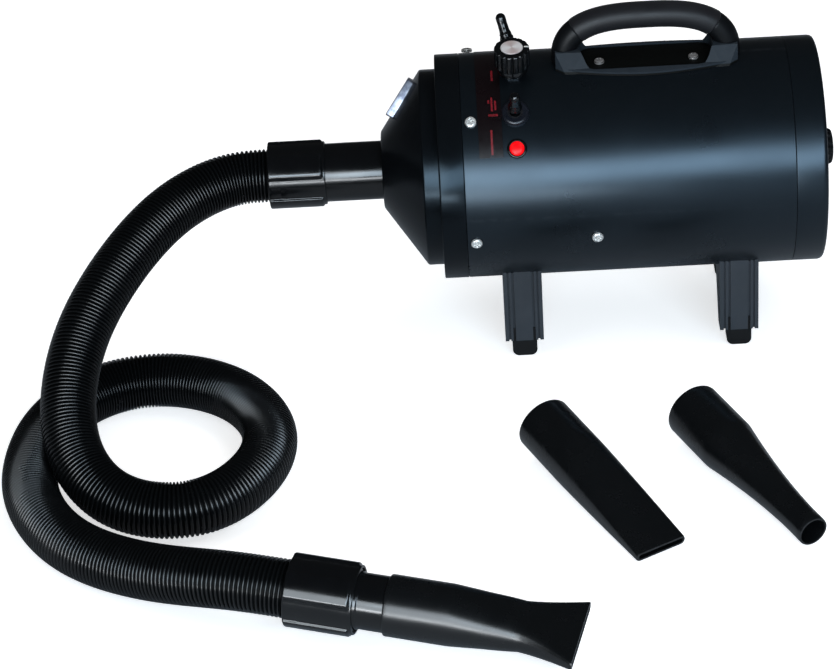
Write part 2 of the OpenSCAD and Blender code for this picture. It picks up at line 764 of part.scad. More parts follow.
// Hose cuff, from the hose's end to its mouth, with four raised grip lands
module cuff(bore_r, len) {
    base_r = cuff_d / 2 - 1.6;
    difference() {
        union() {
            cylinder(r = base_r, h = len);
            intersection() {
                cylinder(d = cuff_d, h = len - 2);
                for (turn = [0, 90]) rotate([0, 0, turn + 45])
                    translate([-cuff_d, -11, 0]) cube([2 * cuff_d, 22, len]);
            }
        }
        translate([0, 0, -1]) cylinder(r = hose_d / 2 - 2.5, h = len + 2);
        translate([0, 0, 10]) cylinder(r = bore_r, h = len);
    }
}

module hose_cuff_front() {
    color("#121316") place() axis_at(cuff_s) cuff(spigot_r + fit_gap, cuff_len);
}

module hose() {
    color("#1a1b1e") place()
        sweep_sleeve(spline(hose_route, 2), 0, hose_d / 2, hose_d / 2 - 2, hose_sides, [0, 0, 1]);
}

module hose_cuff_rear() {
    color("#121316") place() along(wand_from, wand_dir) cuff(spigot_r, rear_cuff_len);
}

module wand_tube() {
    color("#15171a") place() along(wand_from, wand_dir) difference() {
        union() {
            translate([0, 0, 14]) cylinder(r = spigot_r, h = rear_cuff_len - 15);
            translate([0, 0, 14]) cylinder(d = wand_d, h = nozzle_start - 14 + wand_in_nozzle);
        }
        translate([0, 0, 0]) cylinder(r = wand_d / 2 - 1.8, h = 200);
    }
}

module nozzle_socket(depth) {
    cylinder(r = wand_d / 2 + fit_gap, h = depth);
}

// Slot with round ends, across the nozzle
module slot_end(w, h) {
    linear_extrude(0.5) {
        square([h, w - h], center = true);
        for (side = [-1, 1]) translate([0, side * (w - h) / 2]) circle(d = h, $fn = 16);
    }
}

module oval_at(z, w, h) {
    translate([0, 0, z]) slot_end(w, h, $fn = 32);
}

module fan_nozzle() {
    round_to = 46;
    neck_z = 98;
    neck = [44, 25];
    wall = 1.8;
    color("#101114") place() along(wand_from, wand_dir) translate([0, 0, nozzle_start]) difference() {
        union() {
            cylinder(d = nozzle_d, h = round_to);
            hull() {
                translate([0, 0, round_to - 0.5]) cylinder(d = nozzle_d - 0.2, h = 0.5, $fn = 32);
                oval_at(neck_z, neck[0], neck[1]);
            }
            hull() {
                oval_at(neck_z, neck[0], neck[1]);
                oval_at(fan_len - 0.5, fan_w, slot_h);
            }
        }
        translate([0, 0, -1]) nozzle_socket(wand_in_nozzle + 2);
        translate([0, 0, wand_in_nozzle]) cylinder(d = nozzle_d - 6, h = round_to - wand_in_nozzle);
        hull() {
            translate([0, 0, round_to - 0.7]) cylinder(d = nozzle_d - 6.2, h = 0.5, $fn = 32);
            oval_at(neck_z, neck[0] - 2 * wall, neck[1] - 2 * wall);
        }
        hull() {
            oval_at(neck_z, neck[0] - 2 * wall, neck[1] - 2 * wall);
            oval_at(fan_len, fan_w - 2 * wall, slot_h - 2 * wall);
        }
    }
}

module flat_nozzle() {
    wall = 1.7;
    dir = [cos(flat_heading) * cos(flat_slope), sin(flat_heading) * cos(flat_slope), -sin(flat_slope)];
    color("#101114") place() along(flat_mouth, dir) difference() {
        union() {
            cylinder(d = nozzle_d, h = flat_straight);
            hull() {
                translate([0, 0, flat_straight - 0.5]) cylinder(d = nozzle_d - 0.2, h = 0.5, $fn = 32);
                oval_at(flat_len - 0.5, nozzle_d - 2, slot_h);
            }
        }
        translate([0, 0, -1]) nozzle_socket(socket_depth + 1);
        translate([0, 0, socket_depth - 1]) cylinder(d = nozzle_d - 6, h = flat_straight - socket_depth);
        hull() {
            translate([0, 0, flat_straight - 2]) cylinder(d = nozzle_d - 6.2, h = 0.5, $fn = 32);
            oval_at(flat_len, nozzle_d - 2 - 2 * wall, slot_h - 2 * wall);
        }
    }
}

// Radius of the round nozzle's concave taper, from the straight part to the tip
taper_end = round_len - 14;
function taper_r(z) = let (t = (z - round_straight) / (taper_end - round_straight))
    round_tip_d / 2 + (nozzle_d - round_tip_d) / 2 * pow(1 - t, 1.7);

module round_nozzle() {
    wall = 1.8;
    steps = [round_straight : (taper_end - round_straight) / 12 : taper_end + 0.01];
    dir = [cos(round_heading) * cos(round_slope), sin(round_heading) * cos(round_slope), -sin(round_slope)];
    color("#101114") place() along(round_mouth, dir) rotate_extrude() polygon(concat(
        [[wand_d / 2 + fit_gap, 0], [nozzle_d / 2, 0]],
        [for (z = steps) [taper_r(z), z]],
        [[round_tip_d / 2, round_len], [round_tip_d / 2 - wall, round_len]],
        [for (k = [12 : -1 : 0]) let (z = round_straight + (taper_end - round_straight) * k / 12)
            [taper_r(z) - wall, z]],
        [[nozzle_d / 2 - 3, socket_depth], [wand_d / 2 + fit_gap, socket_depth]]
    ));
}

body_tube();
front_cap();
outlet_spigot();
name_plate();
rear_ring();
stud_bridge();
filter_foam();
handle_saddle();
handle_bow();
handle_grip();
handle_screws();
foot_front_near();
foot_front_far();
foot_rear_near();
foot_rear_far();
foot_tip_front_near();
foot_tip_front_far();
foot_tip_rear_near();
foot_tip_rear_far();
foot_screws();
ring_screws();
mount_screws();
control_label();
speed_pot();
pot_nut();
heater_switch();
heater_switch_ring();
power_switch();
power_switch_ring();
lamp_body();
lamp_bezel();
lamp_lens();
motor_can();
motor_bearings();
motor_bracket();
fan_housing();
fan_gasket();
heater_frame();
heater_coil();
thermal_cutout();
control_board();
cable_gland();
speed_knob();
knob_cap();
pot_shaft();
heater_toggle();
power_toggle();
motor_shaft();
armature();
impeller();
filter_grille();
cover_knob();
hose_cuff_front();
hose();
hose_cuff_rear();
wand_tube();
fan_nozzle();
flat_nozzle();
round_nozzle();
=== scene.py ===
import math

import bmesh
import bpy
import numpy as np
from mathutils import Matrix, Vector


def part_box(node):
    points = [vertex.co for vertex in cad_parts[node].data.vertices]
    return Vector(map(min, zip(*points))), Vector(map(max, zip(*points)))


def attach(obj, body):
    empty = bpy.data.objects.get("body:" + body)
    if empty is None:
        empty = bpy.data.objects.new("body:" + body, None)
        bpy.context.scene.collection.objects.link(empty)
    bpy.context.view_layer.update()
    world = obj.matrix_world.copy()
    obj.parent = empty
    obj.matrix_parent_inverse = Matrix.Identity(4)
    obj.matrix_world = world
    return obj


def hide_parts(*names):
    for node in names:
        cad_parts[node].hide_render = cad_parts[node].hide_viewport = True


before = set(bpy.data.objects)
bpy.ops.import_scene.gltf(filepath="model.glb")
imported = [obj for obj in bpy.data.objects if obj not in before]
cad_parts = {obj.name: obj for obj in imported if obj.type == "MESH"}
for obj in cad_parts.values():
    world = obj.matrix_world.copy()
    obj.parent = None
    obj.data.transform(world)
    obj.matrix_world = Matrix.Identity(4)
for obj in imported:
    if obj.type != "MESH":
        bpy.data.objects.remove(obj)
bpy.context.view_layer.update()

# Lengths below are in millimetres. x counts from the tube's front edge to the rear, y from the blower's
# axis away from the viewer, and z up from the floor. place() turns them into the frame's metres.
# An angle called phi goes round the tube: 0 is the top, and it grows towards the viewer.
tube_lo, tube_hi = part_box("body_tube")
ORIGIN = np.array([tube_lo.x, (tube_lo.y + tube_hi.y) / 2, 0.0])
AXIS_H = (tube_lo.z + tube_hi.z) / 2 * 1000
TUBE_R = (tube_hi.z - tube_lo.z) / 2 * 1000
TUBE_LEN = (tube_hi.x - tube_lo.x) * 1000


def place(p):
    """The frame's metres for points in the blower's millimetres."""
    return np.asarray(p, float) / 1000 + ORIGIN


# ---------------------------------------------------------------- frames of reference


class Frame:
    """An origin and three directions. Called with local points, it gives the blower's millimetres."""

    def __init__(self, origin, ex, ey, ez):
        self.o = np.array(origin, float)
        self.b = np.array([ex, ey, ez], float)

    def __call__(self, pts):
        return self.o + np.asarray(pts, float) @ self.b


def axis_at(s):
    """Along the blower: local z to the rear, local x down."""
    return Frame((s, 0, AXIS_H), (0, 0, -1), (0, 1, 0), (1, 0, 0))


def skin(s, phi, out=0.0):
    """On the tube's skin: local z straight out, local x to the rear, local y round towards the top."""
    a = math.radians(phi)
    n = np.array([0, -math.sin(a), math.cos(a)])
    origin = np.array([s, 0, AXIS_H]) + n * (TUBE_R + out)
    return Frame(origin, (1, 0, 0), (0, math.cos(a), math.sin(a)), n)


def along(start, direction):
    """Local z along the direction, local y level."""
    d = np.asarray(direction, float)
    d = d / np.linalg.norm(d)
    y = np.array([-d[1], d[0], 0])
    y /= np.linalg.norm(y)
    return Frame(start, np.cross(y, d), y, d)


# ---------------------------------------------------------------- mesh builders


def piece(name, verts, faces, body, material, stands=(), angle=38, weld=0.002, slot=None):
    """A mesh that rides a body of the frame and stands for the CAD nodes in stands."""
    me = bpy.data.meshes.new(name)
    me.from_pydata([tuple(v) for v in place(verts)], [], faces)
    bm = bmesh.new()
    bm.from_mesh(me)
    if weld:
        bmesh.ops.remove_doubles(bm, verts=bm.verts, dist=weld / 1000)
        bmesh.ops.dissolve_degenerate(bm, edges=bm.edges, dist=weld / 2000)
    bmesh.ops.recalc_face_normals(bm, faces=bm.faces)
    bm.to_mesh(me)
    bm.free()
    me.polygons.foreach_set("use_smooth", [True] * len(me.polygons))
    me.set_sharp_from_angle(angle=math.radians(angle))
    me.materials.append(material)
    ob = bpy.data.objects.new(name, me)
    bpy.context.scene.collection.objects.link(ob)
    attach(ob, body)
    if stands:
        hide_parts(*stands)
    return ob


def soft(pts, r, n=3, closed=True):
    """The outline with its corners rounded. r is one radius or one per corner."""
    pts = [np.array(p, float) for p in pts]
    rs = [r] * len(pts) if np.isscalar(r) else list(r)
    out = []
    for i, p in enumerate(pts):
        if not closed and i in (0, len(pts) - 1) or rs[i] <= 0:
            out.append(p)
            continue
        a, b = pts[i - 1] - p, pts[(i + 1) % len(pts)] - p
        la, lb = np.linalg.norm(a), np.linalg.norm(b)
        t = min(rs[i], la * 0.45, lb * 0.45)
        a, b = p + a / la * t, p + b / lb * t
        for k in range(n + 1):
            u = k / n
            out.append((1 - u) ** 2 * a + 2 * u * (1 - u) * p + u * u * b)
    return out


def grid_faces(rows, cols, wrap_rows=False):
    """Faces between rows of points, where each row closes on itself."""
    faces = []
    for i in range(rows if wrap_rows else rows - 1):
        for k in range(cols):
            here, there = i * cols, ((i + 1) % rows) * cols
            right_k = (k + 1) % cols
            faces.append((here + k, here + right_k, there + right_k, there + k))
    return faces


def lathe(profile, fr, seg=96, closed=True, shape=None):
    """Vertices and faces of an outline (radius, height) turned about the frame's z.
    shape(angle, radius, height) may give another radius."""
    th = np.linspace(0, 2 * math.pi, seg, endpoint=False)
    v = []
    for r, z in profile:
        rr = np.full(seg, float(r)) if shape is None else np.array([shape(t, r, z) for t in th])
        v += list(fr(np.stack([rr * np.cos(th), rr * np.sin(th), np.full(seg, float(z))], 1)))
    return v, grid_faces(len(profile), seg, wrap_rows=closed)


def join(*parts):
    """Several pairs of vertices and faces as one."""
    v, f = [], []
    for pv, pf in parts:
        n = len(v)
        v += list(pv)
        f += [tuple(n + i for i in q) for q in pf]
    return v, f


def loft(rings, caps=True):
    """Skin over rings that all have the same number of points."""
    n = len(rings[0])
    v = [p for ring in rings for p in ring]
    f = grid_faces(len(rings), n)
    if caps:
        f.append(tuple(range(n - 1, -1, -1)))
        f.append(tuple((len(rings) - 1) * n + k for k in range(n)))
    return v, f


def shell(outer, inner):
    """A hollow piece from outer and inner rings: walls joined at both ends."""
    n = len(outer[0])
    rings = list(outer) + list(inner)[::-1]
    return [p for ring in rings for p in ring], grid_faces(len(rings), n, wrap_rows=True)


def carried(path, up=None):
    """Directions, and two directions square to them, along a path, without twist."""
    p = np.asarray(path, float)
    t = np.gradient(p, axis=0)
    t /= np.linalg.norm(t, axis=1)[:, None]
    a = np.zeros_like(p)
    ref = np.array([0, 0, 1.0]) if up is None else np.array(up, float)
    a[0] = np.cross(t[0], ref)
    a[0] /= np.linalg.norm(a[0])
    for i in range(1, len(p)):
        v = np.cross(t[i], ref) if up is not None else a[i - 1] - t[i] * (a[i - 1] @ t[i])
        a[i] = v / np.linalg.norm(v)
    return t, a, np.cross(a, t)


def tube_along(path, radii, seg=48, up=None):
    """A closed round tube along a path, with a radius for each of its points."""
    _, a, b = carried(path, up)
    th = np.linspace(0, 2 * math.pi, seg, endpoint=False)
    ca, sa = np.cos(th), np.sin(th)
    rings = []
    for i, p in enumerate(np.asarray(path, float)):
        r = radii[i] * np.ones(seg)
        rings.append(p + (r * ca)[:, None] * a[i] + (r * sa)[:, None] * b[i])
    return loft(rings)


# ---------------------------------------------------------------- materials


def material(name, color, rough, metal=0.0, vary=0.25, patch=9.0, rough_vary=0.06, grain=0.0,
             grain_scale=900.0, scratch=0.0, edge_highlight=0.0, edge_highlight_color=(0.2, 0.2, 0.2), specular=0.5,
             waves=0.0, wave_scale=1.0, sheen=0.0, tint=(1, 1, 1)):
    """A moulded, painted or metal surface: colour that drifts, uneven gloss, fine grain, scratches, and
    convex edges painted lighter as a painted highlight. The scales are in turns per metre, and vary and
    rough_vary say how far things drift."""
    m = bpy.data.materials.new(name)
    m.use_nodes = True
    nt = m.node_tree
    nodes, link = nt.nodes, nt.links.new
    bsdf = nodes["Principled BSDF"]
    bsdf.inputs["Metallic"].default_value = metal
    bsdf.inputs["Specular IOR Level"].default_value = specular
    bsdf.inputs["IOR"].default_value = 1.5
    bsdf.inputs["Sheen Weight"].default_value = sheen
    bsdf.inputs["Specular Tint"].default_value = (*tint, 1)
    tc = nodes.new("ShaderNodeTexCoord")

    def noise(scale, detail=3.0, roughness=0.5, vector=None):
        n = nodes.new("ShaderNodeTexNoise")
        n.inputs["Scale"].default_value = scale
        n.inputs["Detail"].default_value = detail
        n.inputs["Roughness"].default_value = roughness
        link(vector or tc.outputs["Object"], n.inputs["Vector"])
        return n.outputs["Fac"]

    def spread(fac, low, high, from_low=0.3, from_high=0.7):
        r = nodes.new("ShaderNodeMapRange")
        r.inputs["From Min"].default_value, r.inputs["From Max"].default_value = from_low, from_high
        r.inputs["To Min"].default_value, r.inputs["To Max"].default_value = low, high
        link(fac, r.inputs["Value"])
        return r.outputs["Result"]

    def mix(fac, a, b):
        x = nodes.new("ShaderNodeMix")
        x.data_type = "RGBA"
        link(fac, x.inputs["Factor"])
        for sock, val in ((x.inputs["A"], a), (x.inputs["B"], b)):
            if isinstance(val, bpy.types.NodeSocket):
                link(val, sock)
            else:
                sock.default_value = (*val, 1)
        return x.outputs["Result"]

    c = np.array(color, float)
    darker, lighter = tuple(c * (1 - vary)), tuple(np.minimum(c * (1 + vary), 1))
    base = mix(spread(noise(patch, 4.0), 0, 1), darker, lighter)
    fine = noise(grain_scale * 0.6, 2.0)
    base = mix(spread(fine, 0.0, 0.35), base, tuple(c * (1 - vary * 0.8)))
    # Painted highlight: convex edges, found by pointiness and broken up by noise, are painted lighter in
    # the base colour.
    if edge_highlight:
        geo = nodes.new("ShaderNodeNewGeometry")
        edge = spread(geo.outputs["Pointiness"], 0.0, edge_highlight, 0.52, 0.6)
        broken = nodes.new("ShaderNodeMath")
        broken.operation = "MULTIPLY"
        link(edge, broken.inputs[0])
        link(spread(noise(160, 3.0), 0, 1, 0.42, 0.62), broken.inputs[1])
        base = mix(broken.outputs[0], base, edge_highlight_color)
    link(base, bsdf.inputs["Base Color"])
    least, most = max(rough - rough_vary, 0.02), min(rough + rough_vary, 1.0)
    gloss = spread(noise(patch * 2.3, 5.0, 0.6), least, most)
    link(gloss, bsdf.inputs["Roughness"])
    normal = None

    def bump(height, strength, distance, normal):
        b = nodes.new("ShaderNodeBump")
        b.inputs["Strength"].default_value = strength
        b.inputs["Distance"].default_value = distance
        link(height, b.inputs["Height"])
        if normal:
            link(normal, b.inputs["Normal"])
        return b.outputs["Normal"]

    if waves:
        normal = bump(noise(wave_scale, 2.0), waves, 0.001, normal)
    if grain:
        normal = bump(noise(grain_scale, 3.0, 0.6), grain, 0.0002, normal)
    if scratch:
        stretch = nodes.new("ShaderNodeMapping")
        stretch.inputs["Scale"].default_value = (40, 900, 900)
        stretch.inputs["Rotation"].default_value = (0.2, 0.35, 0.5)
        link(tc.outputs["Object"], stretch.inputs["Vector"])
        lines = spread(noise(1.0, 2.0, 0.4, stretch.outputs["Vector"]), 0, 1, 0.6, 0.7)
        normal = bump(lines, scratch, 0.0001, normal)
    if normal:
        link(normal, bsdf.inputs["Normal"])
    return m


paint = material("tube_paint", (0.0035, 0.0048, 0.0062), 0.3, vary=0.12, patch=5, rough_vary=0.035,
                 grain=0.14, grain_scale=1400, waves=0.05, wave_scale=7, tint=(0.62, 0.82, 1.0),
                 edge_highlight=0.2, edge_highlight_color=(0.04, 0.045, 0.05))
cap_gloss = material("cap_plastic", (0.0032, 0.0038, 0.0046), 0.22, specular=0.2, vary=0.12,
                     patch=14, rough_vary=0.04, grain=0.06, grain_scale=900, scratch=0.05,
                     waves=0.07, wave_scale=14, tint=(0.6, 0.82, 1.0), edge_highlight=0.2,
                     edge_highlight_color=(0.03, 0.033, 0.037))
gloss_black = material("gloss_black", (0.0028, 0.0031, 0.0036), 0.16, vary=0.12, patch=22,
                       rough_vary=0.04, grain=0.05, grain_scale=900, scratch=0.06, waves=0.1,
                       wave_scale=26, edge_highlight=0.2, edge_highlight_color=(0.025, 0.027, 0.03))
satin_black = material("satin_black", (0.0038, 0.0042, 0.005), 0.4, specular=0.16, vary=0.12,
                       patch=25, rough_vary=0.06, grain=0.22, grain_scale=1500, edge_highlight=0.25,
                       edge_highlight_color=(0.03, 0.032, 0.035))
nozzle_black = material("nozzle_black", (0.0032, 0.0037, 0.0042), 0.26, vary=0.12, patch=20,
                        rough_vary=0.04, grain=0.1, grain_scale=1300, scratch=0.04, waves=0.06,
                        wave_scale=22, edge_highlight=0.25, edge_highlight_color=(0.025, 0.027, 0.03))
hose_black = material("hose_black", (0.0022, 0.0026, 0.0029), 0.24, specular=0.36, vary=0.15,
                      patch=16, rough_vary=0.06, grain=0.12, grain_scale=1700)
grip_black = material("grip_rubber", (0.0085, 0.0082, 0.0098), 0.46, specular=0.26, vary=0.12,
                      patch=22, rough_vary=0.06, grain=0.4, grain_scale=2200, sheen=0.05)
# The feet's dark grey, lighter than the other blacks, is partly painted sheen that stands in for the
# highlights on their faces.
foot_black = material("foot_plastic", (0.031, 0.037, 0.045), 0.36, vary=0.12, patch=26,
                      rough_vary=0.05, grain=0.15, grain_scale=1500, edge_highlight=0.25,
                      edge_highlight_color=(0.04, 0.045, 0.05))
rubber = material("foot_rubber", (0.004, 0.004, 0.0045), 0.5, specular=0.25, vary=0.15, patch=40,
                  rough_vary=0.08, grain=0.4, grain_scale=2300)
plate_silver = material("silver_plate", (0.17, 0.185, 0.235), 0.34, metal=0.75, specular=0.2,
                        vary=0.08, patch=30, rough_vary=0.06, grain=0.2, grain_scale=1600,
                        scratch=0.12, edge_highlight=0.6, edge_highlight_color=(0.6, 0.62, 0.68))
screw_steel = material("screw_steel", (0.8, 0.79, 0.76), 0.28, metal=0.55, vary=0.12, patch=120,
                       rough_vary=0.08, grain=0.2, grain_scale=2500, scratch=0.2)
shaded_steel = material("shaded_steel", (0.34, 0.315, 0.3), 0.34, metal=0.6, specular=0.25,
                        vary=0.12, patch=120, rough_vary=0.08, grain=0.2, grain_scale=2500,
                        scratch=0.2)
dull_steel = material("dull_steel", (0.5, 0.51, 0.53), 0.4, metal=1.0, vary=0.12, patch=40,
                      rough_vary=0.1, grain=0.2, grain_scale=1800, scratch=0.3)
ring_metal = material("ring_metal", (0.009, 0.0105, 0.016), 0.3, metal=0.2, vary=0.15, patch=90,
                      rough_vary=0.06, grain=0.15, grain_scale=1800, edge_highlight=0.3,
                      edge_highlight_color=(0.06, 0.065, 0.08))
label_black = material("label_film", (0.0045, 0.0018, 0.0024), 0.3, vary=0.12, patch=40,
                       rough_vary=0.04, grain=0.1, grain_scale=2600)
label_red = material("label_red", (0.2, 0.002, 0.008), 0.4, vary=0.3, patch=180, rough_vary=0.06,
                     grain=0.2, grain_scale=2600)
tick_white = material("tick_white", (0.75, 0.74, 0.7), 0.45, vary=0.12, patch=300, rough_vary=0.06,
                      grain=0.2, grain_scale=2600)
switch_black = material("switch_case", (0.01, 0.01, 0.012), 0.3, vary=0.15, patch=60, grain=0.1)
copper = material("copper_winding", (0.62, 0.26, 0.1), 0.35, metal=0.9, vary=0.25, patch=60,
                  grain=0.4, grain_scale=1500)
fan_metal = material("fan_aluminium", (0.72, 0.73, 0.74), 0.33, metal=1.0, vary=0.1, patch=30,
                     grain=0.2, scratch=0.3)
mica = material("mica_board", (0.5, 0.4, 0.23), 0.6, vary=0.25, patch=50, grain=0.4)
wire = material("heater_wire", (0.34, 0.33, 0.33), 0.45, metal=0.9, vary=0.25, patch=90, grain=0.3)
board = material("circuit_board", (0.03, 0.16, 0.05), 0.35, vary=0.25, patch=60, grain=0.2)
foam = material("filter_foam", (0.012, 0.0125, 0.0135), 0.9, vary=0.5, patch=400, grain=1.0,
                grain_scale=700)


CONTROL_S = 42
KNOB_PHI, POWER_PHI, HEATER_PHI, LAMP_PHI = 10, 36, -16, 54
KNOB_TOP = 26.4


def turned_metal_painted_fans():
    """Rings left by a lathe tool, as bumps, with two soft fans of painted reflection, lighter and darker
    in turn round the cap, in the base colour.
    """
    m = material("knob_cap_turned_painted_fans", (0.62, 0.56, 0.54), 0.36, metal=0.35, vary=0.06, patch=120,
                 rough_vary=0.05)
    nt = m.node_tree
    cap = skin(CONTROL_S, KNOB_PHI, KNOB_TOP)
    on_cap = nt.nodes.new("ShaderNodeMapping")
    on_cap.vector_type = "TEXTURE"
    on_cap.inputs["Location"].default_value = tuple(place(cap.o))
    on_cap.inputs["Rotation"].default_value = (math.radians(KNOB_PHI), 0, 0)
    nt.links.new(nt.nodes["Texture Coordinate"].outputs["Object"], on_cap.inputs["Vector"])
    wave = nt.nodes.new("ShaderNodeTexWave")
    wave.wave_type = "RINGS"
    wave.rings_direction = "Z"
    wave.inputs["Scale"].default_value = 900
    wave.inputs["Distortion"].default_value = 0.6
    nt.links.new(on_cap.outputs["Vector"], wave.inputs["Vector"])
    grooves = nt.nodes.new("ShaderNodeBump")
    grooves.inputs["Strength"].default_value = 0.3
    grooves.inputs["Distance"].default_value = 0.0001
    nt.links.new(wave.outputs["Fac"], grooves.inputs["Height"])
    bsdf = nt.nodes["Principled BSDF"]
    nt.links.new(grooves.outputs["Normal"], bsdf.inputs["Normal"])
    # Painted reflection: two soft fans round the cap's centre, mixed into the base colour from pinkish
    # to pale grey.
    turn = nt.nodes.new("ShaderNodeTexGradient")
    turn.gradient_type = "RADIAL"
    nt.links.new(on_cap.outputs["Vector"], turn.inputs["Vector"])
    two_turns = nt.nodes.new("ShaderNodeMath")
    two_turns.operation = "MULTIPLY_ADD"
    two_turns.inputs[1].default_value = 4 * math.pi
    two_turns.inputs[2].default_value = 1.2
    nt.links.new(turn.outputs["Fac"], two_turns.inputs[0])
    fans = nt.nodes.new("ShaderNodeMath")
    fans.operation = "SINE"
    nt.links.new(two_turns.outputs[0], fans.inputs[0])
    painted_fan_reflection = nt.nodes.new("ShaderNodeMapRange")
    painted_fan_reflection.inputs["From Min"].default_value = -1.0
    nt.links.new(fans.outputs[0], painted_fan_reflection.inputs["Value"])
    mix = nt.nodes.new("ShaderNodeMix")
    mix.data_type = "RGBA"
    mix.inputs["A"].default_value = (0.62, 0.5, 0.48, 1)
    mix.inputs["B"].default_value = (0.9, 0.86, 0.85, 1)
    nt.links.new(painted_fan_reflection.outputs["Result"], mix.inputs["Factor"])
    nt.links.new(mix.outputs["Result"], bsdf.inputs["Base Color"])
    return m


def lamp_glow():
    """Red plastic that is lit from inside."""
    m = material("lamp_red", (0.5, 0.003, 0.004), 0.3, specular=0.2, vary=0.12, patch=160,
                 rough_vary=0.04)
    bsdf = m.node_tree.nodes["Principled BSDF"]
    bsdf.inputs["Emission Color"].default_value = (1.0, 0.0, 0.004, 1)
    bsdf.inputs["Emission Strength"].default_value = 0.75
    return m


RECESS_TOP = 1.4


def saddle_painted_light():
    """The saddle's black plastic, painted grey on the rim and the ends as a painted reflection, and near
    black on the recess's floor, which is nearer to the axis, as painted shade in the recess.
    """
    m = material("saddle_grey_painted_light", (0.021, 0.027, 0.034), 0.5, specular=0.1, vary=0.08, patch=20,
                 rough_vary=0.05, grain=0.3, grain_scale=1700, edge_highlight=0.15,
                 edge_highlight_color=(0.045, 0.05, 0.055))
    nt = m.node_tree
    bsdf = nt.nodes["Principled BSDF"]
    from_axis = nt.nodes.new("ShaderNodeMapping")
    axis = place((0, 0, AXIS_H))
    from_axis.inputs["Location"].default_value = (0, -axis[1], -axis[2])
    from_axis.inputs["Scale"].default_value = (0, 1, 1)
    nt.links.new(nt.nodes["Texture Coordinate"].outputs["Object"], from_axis.inputs["Vector"])
    reach = nt.nodes.new("ShaderNodeVectorMath")
    reach.operation = "LENGTH"
    nt.links.new(from_axis.outputs["Vector"], reach.inputs[0])
    # Painted light by distance from the tube's axis: the rim and the ends, farther out, keep the grey of
    # a painted reflection.
    above = nt.nodes.new("ShaderNodeMapRange")
    above.inputs["From Min"].default_value = (TUBE_R + RECESS_TOP) / 1000
    above.inputs["From Max"].default_value = (TUBE_R + RECESS_TOP + 0.4) / 1000
    nt.links.new(reach.outputs["Value"], above.inputs["Value"])
    mix = nt.nodes.new("ShaderNodeMix")
    mix.data_type = "RGBA"
    # Painted shade: the recess's floor is painted near black.
    mix.inputs["A"].default_value = (0.003, 0.0033, 0.003, 1)
    nt.links.new(above.outputs["Result"], mix.inputs["Factor"])
    nt.links.new(bsdf.inputs["Base Color"].links[0].from_socket, mix.inputs["B"])
    nt.links.new(mix.outputs["Result"], bsdf.inputs["Base Color"])
    return m


# ---------------------------------------------------------------- camera

# The angles are in radians, and the focal length is in widths of one of the picture's 838 columns.
CAM = (2.95, -2249.23, 1405.61)
PITCH, YAW, ROLL = 0.56243, 0.021162, 0.063484
FOCAL_PX, PICTURE_PX, SENSOR = 3200.0, 838, 36
fwd = np.array([-math.sin(YAW) * math.cos(PITCH), math.cos(YAW) * math.cos(PITCH), -math.sin(PITCH)])
right = np.array([math.cos(YAW), math.sin(YAW), 0])
up = np.cross(right, fwd)
cam_right = math.cos(ROLL) * right - math.sin(ROLL) * up
cam_up = math.sin(ROLL) * right + math.cos(ROLL) * up
cam_data = bpy.data.cameras.new("camera")
cam_data.sensor_width = SENSOR
cam_data.lens = FOCAL_PX / PICTURE_PX * SENSOR
cam_data.clip_end = 50
cam = bpy.data.objects.new("camera", cam_data)
bpy.context.scene.collection.objects.link(cam)
mat3 = Matrix((cam_right, cam_up, -fwd)).transposed()
cam.matrix_world = Matrix.Translation(place(CAM)) @ mat3.to_4x4()
bpy.context.scene.camera = cam

# ---------------------------------------------------------------- hose

# The middle of the hose, from the outlet's cuff to the wand's, as control points of a B-spline.
ROUTE = [
    (-157, 0, 146), (-190, 0, 146), (-230, -25, 140), (-260, -65, 130), (-285, -105, 114),
    (-305, -145, 94), (-315, -190, 68), (-310, -235, 44), (-285, -270, 28), (-250, -285, 22),
    (-210, -285, 22), (-180, -260, 22), (-160, -220, 22), (-160, -175, 22), (-185, -130, 22),
    (-225, -105, 22), (-265, -100, 22), (-305, -115, 22), (-335, -155, 22), (-345, -200, 22),
    (-345, -250, 22), (-325, -300, 22), (-295, -335, 22), (-255, -360, 24), (-220, -380, 31),
    (-180, -395, 36), (-140, -405, 33),
]
HOSE_R, RIDGE_PITCH, RIDGE_DEPTH, STEPS_PER_RIDGE = 21.5, 3.2, 2.2, 6


def spline(points, steps):
    """Points on the cubic B-spline, which starts at the first control point and ends at the last."""
    p = [np.array(q, float) for q in points]
    p = [2 * p[0] - p[1]] + p + [2 * p[-1] - p[-2]]
    out = []
    for i in range(len(p) - 3):
        for k in range(steps):
            t = k / steps
            w = ((1 - t) ** 3, 3 * t ** 3 - 6 * t * t + 4, -3 * t ** 3 + 3 * t * t + 3 * t + 1, t ** 3)
            out.append(sum(a * b for a, b in zip(w, p[i:i + 4])) / 6)
    return np.array(out + [p[-2]])


def even(path, step):
    """The same path with its points one step apart, and how far along it each of them is."""
    d = np.r_[0, np.cumsum(np.linalg.norm(np.diff(path, axis=0), axis=1))]
    n = int(round(d[-1] / step))
    at = np.linspace(0, d[-1], n + 1)
    return np.stack([np.interp(at, d, path[:, i]) for i in range(3)], 1), at


hose_path, hose_at = even(spline(ROUTE, 60), RIDGE_PITCH / STEPS_PER_RIDGE)
ridge = 0.5 + 0.5 * np.cos(2 * math.pi * hose_at / RIDGE_PITCH)
ridge = 1 - (1 - ridge) ** 2.2
hose = piece("hose_tube", *tube_along(hose_path, HOSE_R - RIDGE_DEPTH * (1 - ridge), seg=56),
             "hose_set", hose_black, ["hose"], angle=80, weld=0, slot="hose_plastic")

# ---------------------------------------------------------------- cuffs, wand and nozzles

CUFF_LEN, REAR_CUFF_LEN, CUFF_R, CUFF_STOP = 46.0, 51.0, 27.0, 10
LAND, LAND_FROM, LAND_TO = 1.6, 22.0, 25.0
NOZZLE_START, WAND_R = 72.5, 20.5


def smooth(x, a, b):
    """0 below a, 1 above b and a soft step between."""
    t = np.clip((x - a) / (b - a), 0, 1)
    return t * t * (3 - 2 * t)


